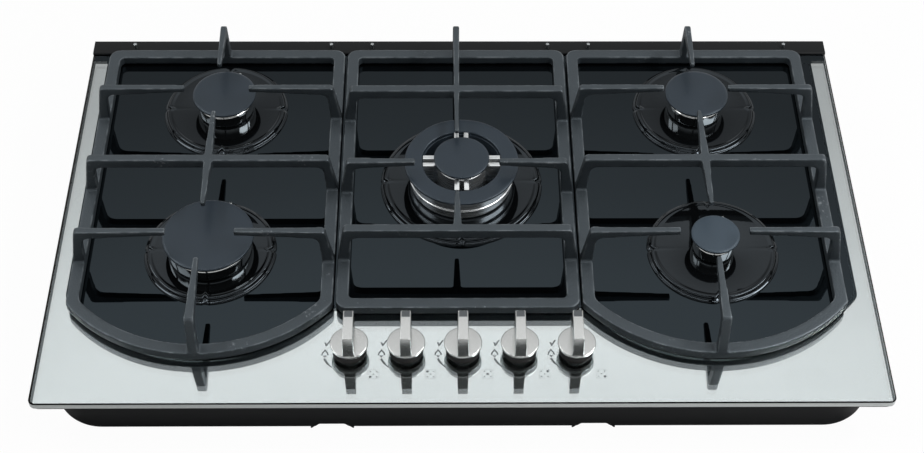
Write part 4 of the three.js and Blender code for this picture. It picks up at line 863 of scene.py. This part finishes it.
def make_supports():
    shift_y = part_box("pan_support_left")[1].y / MM - SUPPORT_BACK_Y
    z0, z1 = GLASS_TOP + FOOT_HIGH, GLASS_TOP + FRAME_TOP
    arc_middle = SIDE_ARC_FRONT_Y + ARC_RADIUS
    side_frame = ring_bar(
        bowed_outline(SIDE_HALF, SUPPORT_BACK_Y, ARC_RADIUS, arc_middle, FRAME_CORNER, FRONT_CORNER),
        bowed_outline(
            SIDE_HALF - FRAME_BAR, SUPPORT_BACK_Y - FRAME_BAR, ARC_RADIUS - FRAME_BAR, arc_middle,
            INNER_CORNER, INNER_CORNER), z0, z1)
    rear_y, front_y, wok_y = (BURNER_ROWS[row] for row in ("rear", "front", "wok"))
    side_reach = SIDE_HALF - SIDE_TIP
    side_parts = [side_frame] + [
        finger(finger_profile, SIDE_FINGER, side_reach, turn, start, y)
        for y in (rear_y, front_y) for turn, start in ((0, -SIDE_HALF), (180, SIDE_HALF))] + [
        plate(crossbar_profile(SIDE_HALF), lambda along: CROSSBAR_WIDTH, 0, 0, SIDE_CROSSBAR_Y)] + [
        finger(profile, shape, reach, turn, 0, y) for profile, shape, reach, turn, y in (
            (finger_profile, REAR_FINGER, SUPPORT_BACK_Y - rear_y - SIDE_TIP, -90, SUPPORT_BACK_Y),
            (finger_profile, FRONT_FINGER, front_y - SIDE_TIP - SIDE_ARC_FRONT_Y, 90, SIDE_ARC_FRONT_Y),
            (stub_profile, STUB_FINGER, rear_y - STUB_TIP - SIDE_CROSSBAR_Y, 90, SIDE_CROSSBAR_Y),
            (stub_profile, STUB_FINGER, SIDE_CROSSBAR_Y - front_y - STUB_TIP, -90, SIDE_CROSSBAR_Y))]
    side_feet = (SUPPORT_BACK_Y - FOOT_FROM_END, SIDE_STRAIGHT_END_Y + FOOT_FROM_END)
    for name in ("left", "right"):
        body = f"pan_support_{name}"
        x = middle(body)[0]
        cast(f"cast_support_{name}", side_parts, x, shift_y, body)
        boots(f"rubber_feet_{name}", SIDE_HALF, side_feet, x, shift_y, body)

    body = "pan_support_centre"
    x = middle(body)[0]
    depth = (SUPPORT_BACK_Y - CENTRE_FRONT_Y) / 2
    mid_y = (SUPPORT_BACK_Y + CENTRE_FRONT_Y) / 2
    parts = [ring_bar(
        rounded_rectangle(CENTRE_HALF, depth, FRAME_CORNER, 0, mid_y),
        rounded_rectangle(CENTRE_HALF - FRAME_BAR, depth - FRAME_BAR, INNER_CORNER, 0, mid_y), z0, z1)]
    for y in CENTRE_CROSSBARS_Y:
        parts.append(plate(crossbar_profile(CENTRE_HALF), lambda along: CROSSBAR_WIDTH, 0, 0, y))
    for turn, start in ((0, -CENTRE_HALF), (180, CENTRE_HALF)):
        parts.append(finger(finger_profile, SIDE_FINGER, CENTRE_HALF - WOK_SIDE_TIP, turn, start, wok_y))
    bar_y = CENTRE_CROSSBARS_Y[1]
    parts.append(finger(
        finger_profile, REAR_FINGER, SUPPORT_BACK_Y - wok_y - WOK_LONG_TIP, -90, 0, SUPPORT_BACK_Y))
    parts.append(finger(stub_profile, STUB_FINGER, wok_y - WOK_LONG_TIP - bar_y, 90, 0, bar_y))
    cast("cast_support_centre", parts, x, shift_y, body)
    centre_feet = (SUPPORT_BACK_Y - FOOT_FROM_END, CENTRE_FRONT_Y + FOOT_FROM_END)
    boots("rubber_feet_centre", CENTRE_HALF, centre_feet, x, shift_y, body)


# ------------------------------------------------------------------ burners

DISC_HIGH = 6.0
CAP_TOP = 30.5
CAP_THICK = 4.0
WOK_RING_TOP = 38.5
WOK_CENTRE_TOP = 44.5
WOK_RING_HOLE = 42.5
WOK_WALL = 55.8
WOK_RADIUS = 61.8
WOK_CENTRE_RADIUS = 29.9
SIDE_DISC_RADIUS = 70.0
WOK_DISC_RADIUS = 88.5
# The bridges of the wok burner run in pairs from the hub to the ring.
BRIDGE_FROM, BRIDGE_TO = 26.0, 41.6
BRIDGE_SPREAD = 5.2
BRIDGE_HALF_WIDE = 2.5
BRIDGE_LOW, BRIDGE_HIGH = 6.5, 38.0
DENT_DEEP = 4.0
DENT_WIDE = 2.2
PORT_COUNTS = {"front_left": 44, "rear_left": 32, "rear_right": 32, "front_right": 20}
PLUG_TURN = 68  # degrees from the right towards the back


def ports_tree():
    """Cuts a ring of upright slots, the flame ports, into the wall of a crown."""
    tree, given = new_group(
        "flame_ports", Crown="Geometry", Count="Int", Radius="Float", Middle="Vector", Slot="Vector",
        Material="Material")
    circle = add(tree, "GeometryNodeMeshCircle", {"Vertices": given["Count"], "Radius": given["Radius"]})
    axes = add(tree, "ShaderNodeSeparateXYZ", {0: add(tree, "GeometryNodeInputPosition")})
    angle = add(tree, "ShaderNodeMath", {0: axes.outputs["Y"], 1: axes.outputs["X"]}, operation="ARCTAN2")
    turn = add(tree, "ShaderNodeCombineXYZ", {"Z": angle})
    slot = add(tree, "GeometryNodeMeshCube", {"Size": given["Slot"]})
    slots = add(tree, "GeometryNodeInstanceOnPoints", {"Points": circle, "Instance": slot, "Rotation": turn})
    real = add(tree, "GeometryNodeRealizeInstances", {0: slots})
    put = add(tree, "GeometryNodeTransform", {"Geometry": real, "Translation": given["Middle"]})
    cut = add(tree, "GeometryNodeMeshBoolean", {
        0: given["Crown"], 1: put}, operation="DIFFERENCE", solver="MANIFOLD")
    whole = add(tree, "GeometryNodeRealizeInstances", {0: cut})
    painted = add(tree, "GeometryNodeSetMaterial", {"Geometry": whole, "Material": given["Material"]})
    add(tree, "NodeGroupOutput", {0: painted})
    return tree


PORTS = ports_tree()


def cut_ports(crown, at, count, radius, h, size, material):
    run_group(
        crown, PORTS, Count=count, Radius=radius * MM, Middle=(at[0] * MM, at[1] * MM, (GLASS_TOP + h) * MM),
        Slot=[s * MM for s in size], Material=material)


def make_disc(name, at, rim):
    """A pressed disc with a rolled rim and a small dent in the rim at each quarter."""
    bore = CUPS[name] + 1.5
    top = rim - 4.0
    profile = rounded([
        (bore, DISC_HIGH - 1.4, 0), (bore, DISC_HIGH - 0.4, 0.3), (top - 5.5, DISC_HIGH - 0.5, 1.0),
        (top - 3.6, DISC_HIGH, 1.2), (top - 0.4, DISC_HIGH, 1.4), (top + 1.0, 2.6, 1.2),
        (rim - 0.6, 1.9, 0.7), (rim, 0.0, 0.4), (rim - 1.6, 0.02, 0),
        (top - 0.9, 1.4, 0.8), (top - 1.8, DISC_HIGH - 1.4, 1.0), (top - 5.0, DISC_HIGH - 1.6, 0.5),
    ], 4)

    def dent(r, h, turn):
        away = abs((turn + math.pi / 4) % (math.pi / 2) - math.pi / 4) * top
        if r < top - 7:
            return 0.0
        return DENT_DEEP * math.exp(-((away / DENT_WIDE) ** 2)) * (1.0 if h > 2.8 else 0.35)

    disc = spun(f"trim_disc_{name}_pressed", profile, DISC_ENAMEL, at, 480, dent)
    settle(disc, "hob", "gloss_enamel", f"trim_disc_{name}")


def make_cap(name, at, radius, top, material, body, lip):
    """An enamelled cap with a thin rolled rim."""
    under = top - CAP_THICK
    profile = rounded([
        (0.0, under - 3, 0), (lip, under - 3, 0.5), (lip, under, 0.4), (radius - 1.4, under, 0.5),
        (radius, under + 0.9, 0.9), (radius, top - 0.9, 0.9), (radius - 2.4, top, 1.0), (0.0, top - 0.001, 0)], 5)
    settle(spun(name, profile, material, at), body, "satin_enamel", body)


def make_side_burner(name):
    at = middle(f"crown_{name}")
    low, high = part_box(f"cap_{name}")
    radius = (high.x - low.x) / 2 / MM
    make_disc(name, at, SIDE_DISC_RADIUS)
    wall = radius - 4.0
    top = CAP_TOP - CAP_THICK
    plug = CUPS[name] - 3.5
    crown_body = f"crown_{name}"
    crown = spun(f"crown_{name}_turned", rounded([
        (plug - 5, 1.0, 0), (plug, 1.0, 0.5), (plug, DISC_HIGH, 0.3), (wall - 1.6, DISC_HIGH + 0.02, 0.6),
        (wall, DISC_HIGH + 1.8, 1.0), (wall, top - 5.5, 0.8), (wall - 1.1, top - 4.6, 0.5), (wall - 1.1, top, 0.3),
        (wall - 5, top, 0.3), (wall - 5, top - 6, 0), (plug - 5, DISC_HIGH + 5, 0)], 4),
        POLISHED, at, 240)
    cut_ports(crown, at, PORT_COUNTS[name], wall - 1.0, top - 1.8, (6.0, 1.5, 3.8), POLISHED)
    settle(crown, crown_body, "gloss_enamel", crown_body)
    enamelled = SMALL_CAP_ENAMEL if name == "front_right" else CAP_ENAMEL
    make_cap(f"cap_{name}_enamelled", at, radius, CAP_TOP, enamelled, f"cap_{name}", wall - 5.5)
    make_spark_plug(name, at, wall + 7.5)


def make_spark_plug(name, at, distance):
    """A ceramic plug with a steel tip behind the crown, a little to the right."""
    turn = math.radians(PLUG_TURN)
    x, y = at[0] + distance * math.cos(turn), at[1] + distance * math.sin(turn)
    body = spun(f"spark_plug_{name}", rounded([
        (0.0, 1.0, 0), (3.0, 1.0, 0.3), (3.0, 15.0, 0.6), (2.2, 16.5, 0.5), (2.2, 21.0, 0.6), (0.0, 21.0, 0)], 3),
        CERAMIC, (x, y), 24)
    settle(body, "hob", "moulding")
    tip = spun(f"spark_tip_{name}", rounded([
        (0.0, 20.5, 0), (0.8, 20.5, 0), (0.8, 23.6, 0.2), (1.6, 23.8, 0.2), (1.6, 24.6, 0.3), (0.0, 24.6, 0)], 3),
        CHROME, (x, y), 16)
    settle(tip, "hob", "zinc_steel")


def make_wok_burner():
    at = middle("crown_wok")
    make_disc("wok", at, WOK_DISC_RADIUS)
    ring_under = WOK_RING_TOP - CAP_THICK
    hub_top = WOK_CENTRE_TOP - CAP_THICK
    wall = WOK_WALL
    ring = spun("wok_crown_turned", rounded([
        (31.5, 1.0, 0), (36.5, 1.0, 0.5), (36.5, DISC_HIGH, 0.3), (wall - 1.5, DISC_HIGH + 0.02, 0.6),
        (wall - 0.4, DISC_HIGH + 2.0, 1.0), (wall - 0.8, 17.0, 0.6),
        (wall + 1.5, 18.2, 0.6), (wall + 1.5, 19.8, 0.6), (wall + 0.2, 20.6, 0.6),
        (wall, ring_under - 6.0, 0.6), (wall - 1.0, ring_under - 5.0, 0.5),
        (wall - 1.0, ring_under, 0.3), (wall - 5.0, ring_under, 0.3), (wall - 5.0, 16.0, 0),
        (45.5, 16.0, 0), (45.5, ring_under, 0.3), (41.5, ring_under, 0.6), (41.5, 11.0, 0.6), (31.5, 11.0, 0)], 4),
        BLASTED, at, 240)
    cut_ports(ring, at, 60, wall - 1.0, ring_under - 2.0, (6.0, 1.6, 4.2), BLASTED)
    # The faces within 50 mm of the middle, the crown's inside and its channel, are given the dark cap enamel.
    ring.data.materials.append(CAP_ENAMEL)
    for polygon in ring.data.polygons:
        if (polygon.center.xy - Vector(at) * MM).length < 50 * MM:
            polygon.material_index = len(ring.data.materials) - 1
    hub = spun("wok_hub", rounded([
        (15.5, 6.0, 0), (29.5, 6.0, 0.4), (27.2, 19.0, 3.0), (27.2, hub_top - 4, 0.6), (26.4, hub_top - 3.4, 0.4),
        (26.4, hub_top, 0.4), (22.0, hub_top, 0.3), (22.0, 11.0, 0), (15.5, 11.0, 0)], 4), BLASTED, at, 160)
    spokes = []
    for quarter in range(4):
        spin = Matrix.Rotation(quarter * math.pi / 2, 3, "Z")
        for side in (-1, 1):
            near, far = (side * BRIDGE_SPREAD + edge * BRIDGE_HALF_WIDE for edge in (-1, 1))
            outline = [spin @ Vector((x, y, 0)) for x, y in (
                (BRIDGE_FROM, near), (BRIDGE_TO, near), (BRIDGE_TO, far), (BRIDGE_FROM, far))]
            spokes.append(extruded(
                [(p.x + at[0], p.y + at[1]) for p in outline], GLASS_TOP + BRIDGE_LOW, GLASS_TOP + BRIDGE_HIGH))
    bridges = make_piece("wok_bridges", mesh_of("wok_bridges", *gather(spokes)), BLASTED)
    boolean(hub, bridges, "UNION")
    soften_edges(hub, 0.35, 2, 40)
    settle(ring, "crown_wok", "aluminium", "crown_wok")
    settle(hub, "crown_wok", "aluminium")
    cap_ring = spun("wok_ring_cap", rounded([
        (46.0, ring_under - 3, 0.4), (wall - 5.5, ring_under - 3, 0.4), (wall - 5.5, ring_under, 0.3),
        (WOK_RADIUS - 1.4, ring_under, 0.5), (WOK_RADIUS, ring_under + 0.9, 0.9),
        (WOK_RADIUS, WOK_RING_TOP - 0.9, 0.9), (WOK_RADIUS - 2.4, WOK_RING_TOP, 1.0),
        (44.0, WOK_RING_TOP, 0.8), (WOK_RING_HOLE, WOK_RING_TOP - 0.9, 0.8), (WOK_RING_HOLE, ring_under, 0.3),
        (46.0, ring_under, 0.3)], 4), CAP_ENAMEL, at, 200)
    settle(cap_ring, "cap_wok_ring", "satin_enamel", "cap_wok_ring")
    make_cap("wok_centre_cap", at, WOK_CENTRE_RADIUS, WOK_CENTRE_TOP, CAP_ENAMEL, "cap_wok_centre", 21.5)
    make_spark_plug("wok", at, wall + 9.0)


# ------------------------------------------------------------------ knobs

KNOB_DISC_TOP = 14.5
KNOB_TOP = 43.5
GRIP_HALF_LONG = 18.0
POINTER_Y = 13.6  # from the knob's middle to the inlay's


def make_knob(name):
    at = middle(f"knob_collar_{name}")
    knob = spun(f"knob_{name}_plated", rounded([
        (0.0, 4.5, 0), (10.5, 4.5, 0.6), (10.5, 10.9, 0.8), (18.7, 10.9, 0.5), (19.3, 11.6, 0.5),
        (19.3, KNOB_DISC_TOP - 0.7, 0.6), (18.5, KNOB_DISC_TOP, 0.5), (0.0, KNOB_DISC_TOP, 0)], 4), NICKEL, at, 96)
    section = ((-5.9, KNOB_DISC_TOP - 2), (5.9, KNOB_DISC_TOP - 2), (5.2, KNOB_TOP), (-5.2, KNOB_TOP))
    rows = [[(at[0] + x, y + at[1], GLASS_TOP + h) for x, h in section] for y in (-GRIP_HALF_LONG, GRIP_HALF_LONG)]
    grip = make_piece("grip", mesh_of("grip", *stacked(rows)), NICKEL)
    soften_edges(grip, 0.7, 3, 50)
    boolean(knob, grip, "UNION")
    boolean(knob, upright(rounded_rectangle(
        4.2, 3.8, 0.5, at[0], at[1] + POINTER_Y, 3), KNOB_TOP - 1.0, KNOB_TOP + 1.0), "DIFFERENCE")
    body = f"knob_{name}"
    settle(knob, body, "satin_metal", body)
    settle_part(f"pointer_{name}", extruded(
        rounded_rectangle(4.05, 3.65, 0.4, at[0], at[1] + POINTER_Y, 3),
        GLASS_TOP + KNOB_TOP - 1.0, GLASS_TOP + KNOB_TOP - 0.45), DARK_INLAY, body, "rubber")
    collar = spun(f"collar_{name}_moulded", rounded([
        (12.5, 0.06, 0.3), (17.3, 0.06, 0.4), (17.3, 2.6, 0.8), (15.6, 5.5, 1.0), (12.5, 5.5, 0.6)], 4),
        RUBBER, at, 96)
    settle(collar, "hob", "rubber", f"knob_collar_{name}")


# Where each knob's burner stands in its sign: left or right, back or front, or in the middle.
SIGN_DOTS = {
    "front_left": (-1, -1), "rear_left": (-1, 1), "wok": (0, 0), "rear_right": (1, 1), "front_right": (1, -1)}
SIGN_AT = (24.6, -26.1)  # from the knob's middle
SIGN_HALF = 5.4
DOT_SPREAD = 3.2
MARKS_UP = 3.7


def stroke(points, width):
    """Thin flat bars along a line, as printed."""
    bars = []
    for (x0, y0), (x1, y1) in zip(points, points[1:]):
        along = Vector((x1 - x0, y1 - y0)).normalized() * (width / 2)
        across = Vector((-along.y, along.x))
        a, b = Vector((x0, y0)) - along, Vector((x1, y1)) + along
        bars.append(extruded([a - across, b - across, b + across, a + across], 0.0, MARK_THICK))
    return gather(bars)


def spot(x, y, radius):
    return extruded(rounded_rectangle(radius, radius, radius, x, y, 5), 0.0, MARK_THICK)


def make_marks():
    """Beside each knob: a tick, a flame, an arc that narrows, and the burner's place."""
    flame = [(-28.2, -6.0), (-27.6, -3.6), (-25.2, -0.2), (-22.8, -3.4), (-22.2, -5.6)]
    arc = [(27.6 * math.cos(a), 27.6 * math.sin(a)) for a in [math.radians(205 + 6 * k) for k in range(5)]]
    parts = [
        stroke([(-25.4, 8.8), (-24.2, 5.6), (-20.6, 11.4)], 1.6), stroke(flame, 1.5),
        stroke([(-26.2, -7.2), (-25.2, -8.6), (-24.2, -7.2)], 1.2),
        stroke(arc[:3], 2.3), stroke(arc[2:], 1.4)]
    knobs = [middle(f"knob_collar_{name}") for name in STATIONS]
    level = GLASS_UNDER + INK_THICK
    repeat("knob_marks", gather(parts), [(x, y + MARKS_UP, level) for x, y in knobs], MARK_INK)
    dashes = []
    for k in range(-4, 5, 2):
        for side in (-1, 1):
            along, edge = k * SIGN_HALF / 5, side * SIGN_HALF
            dashes += [stroke([(along - 0.3, edge), (along + 0.3, edge)], 0.4),
                       stroke([(edge, along - 0.3), (edge, along + 0.3)], 0.4)]
    rings = [spot(sx * DOT_SPREAD, sy * DOT_SPREAD, 0.75) for sx in (-1, 1) for sy in (-1, 1)] + [spot(0, 0, 0.75)]
    places = [(x + SIGN_AT[0], y + SIGN_AT[1], level) for x, y in knobs]
    repeat("burner_signs", gather(dashes + rings), places, FAINT_INK)
    dots = [(x + DOT_SPREAD * SIGN_DOTS[name][0], y + DOT_SPREAD * SIGN_DOTS[name][1], z + MARK_THICK)
            for name, (x, y, z) in zip(STATIONS, places)]
    repeat("burner_dots", spot(0, 0, 1.35), dots, MARK_INK)


# ------------------------------------------------------------------ base tray and rear trim

TRAY_CORNER = 52.0
TRAY_ROUND = 5.0
TRAY_SHEET = 1.2
TRAY_LIP = 2.5
STEP_X = 133.0
PIN_Y = 244.5
PINS_X = (-381, -151, 151, 381, -103, 103)


def along_y(outline, y0, y1):
    """An (x, z) outline drawn out from y0 to y1; z is above the tray's underside."""
    return stacked([[(x, y, z) for x, z in outline] for y in (y0, y1)])


def step_outline(x, grow):
    """The (x, z) outline of a raised step in the tray's floor, grown by grow."""
    half = [(22, -1.0), (21, 0.0), (14, 8.0 + grow), (12.5, 8.5 + grow)]
    right = [(x + reach + grow, z) for reach, z in half]
    left = [(x - reach - grow, z) for reach, z in half]
    return left[:1] + right + left[:0:-1]


def make_tray():
    low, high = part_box("base_tray")
    half_x, half_y = high.x / MM - TRAY_LIP, -low.y / MM - TRAY_LIP
    top = high.z / MM

    def loop(inset, z):
        outline = rounded_rectangle(half_x - inset, half_y - inset, TRAY_CORNER - inset, steps=20)
        return [(p.x, p.y, z) for p in outline]

    loops = []
    for k in range(7):
        turn = k / 6 * math.pi / 2
        loops.append(loop(TRAY_ROUND * (1 - math.sin(turn)), TRAY_ROUND * (1 - math.cos(turn))))
    under_lip = top - TRAY_SHEET
    loops += [loop(0.0, under_lip), loop(-TRAY_LIP, under_lip), loop(-TRAY_LIP, top), loop(TRAY_SHEET, top)]
    inner = TRAY_ROUND - TRAY_SHEET
    for k in range(5):
        turn = (1 - k / 4) * math.pi / 2
        loops.append(loop(TRAY_SHEET + inner * (1 - math.sin(turn)), TRAY_SHEET + inner * (1 - math.cos(turn))))
    tray = make_piece("pressed_tray", mesh_of("pressed_tray", *stacked(loops)), POWDER_COAT)
    for x in (-STEP_X, STEP_X):
        boolean(tray, tool(along_y(step_outline(x, 0.6), -half_y + 0.6, -half_y + 39.2)), "UNION")
        boolean(tray, tool(along_y(step_outline(x, -0.6), -half_y - 8, -half_y + 38.0)), "DIFFERENCE")
    for x, z, radius in ((352.0, 30.0, 10.9), (-60.0, 26.0, 9.3)):
        hole = [(p.x, p.y) for p in rounded_rectangle(radius, radius, radius, x, z, 10)]
        boolean(tray, tool(along_y(hole, half_y - 8, half_y + 8)), "DIFFERENCE")
    settle(tray, "hob", "black_steel", "base_tray")


def make_trim():
    low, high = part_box("rear_trim")
    back, front = high.y / MM, low.y / MM
    profile = rounded([
        (back, 0.02, 0), (back, 2.7, 0.6), (front + 1.2, 2.7, 0.5), (front, 1.6, 0.5), (front, 0.02, 0)], 3)
    rows = [[(x, y, GLASS_TOP + h) for y, h in profile] for x in (low.x / MM, high.x / MM)]
    settle_part("rear_trim_coated", stacked(rows), POWDER_COAT, "hob", "black_steel", "rear_trim")


def make_pins():
    pin = stacked([[(p.x, p.y, h) for p in rounded_rectangle(r, r, r, 0, 0, 6)]
                   for r, h in ((2.1, 2.4), (2.1, 7.6), (1.9, 8.2), (1.2, 8.5))])
    repeat("locating_pins", pin, [(x, PIN_Y, GLASS_TOP) for x in PINS_X], ZINC, "zinc_steel")


# ------------------------------------------------------------------ pieces kept from the CAD model

KEPT = {
    "foam_seal": FOAM, "gas_rail": TURNED, "spark_box": MOULDING, "mains_gland": RUBBER,
    "clamp_front_left": ZINC, "clamp_front_right": ZINC, "clamp_rear_left": ZINC, "clamp_rear_right": ZINC,
}


def coat_kept_nodes():
    finishes = dict(KEPT)
    for name in STATIONS:
        finishes[f"burner_cup_{name}"] = TURNED
        finishes[f"feed_pipe_{name}"] = TURNED
        finishes[f"gas_tap_{name}"] = BRASS
        finishes[f"tap_spindle_{name}"] = ZINC
    for name, material in finishes.items():
        mesh = nodes[name].data
        mesh.materials.clear()
        mesh.materials.append(material)


set_camera()
set_light()
lay_floor()
make_glass()
make_supports()
for station in STATIONS:
    if station != "wok":
        make_side_burner(station)
    make_knob(station)
make_wok_burner()
make_tray()
make_trim()
make_pins()
make_marks()
coat_kept_nodes()

bpy.context.view_layer.update()
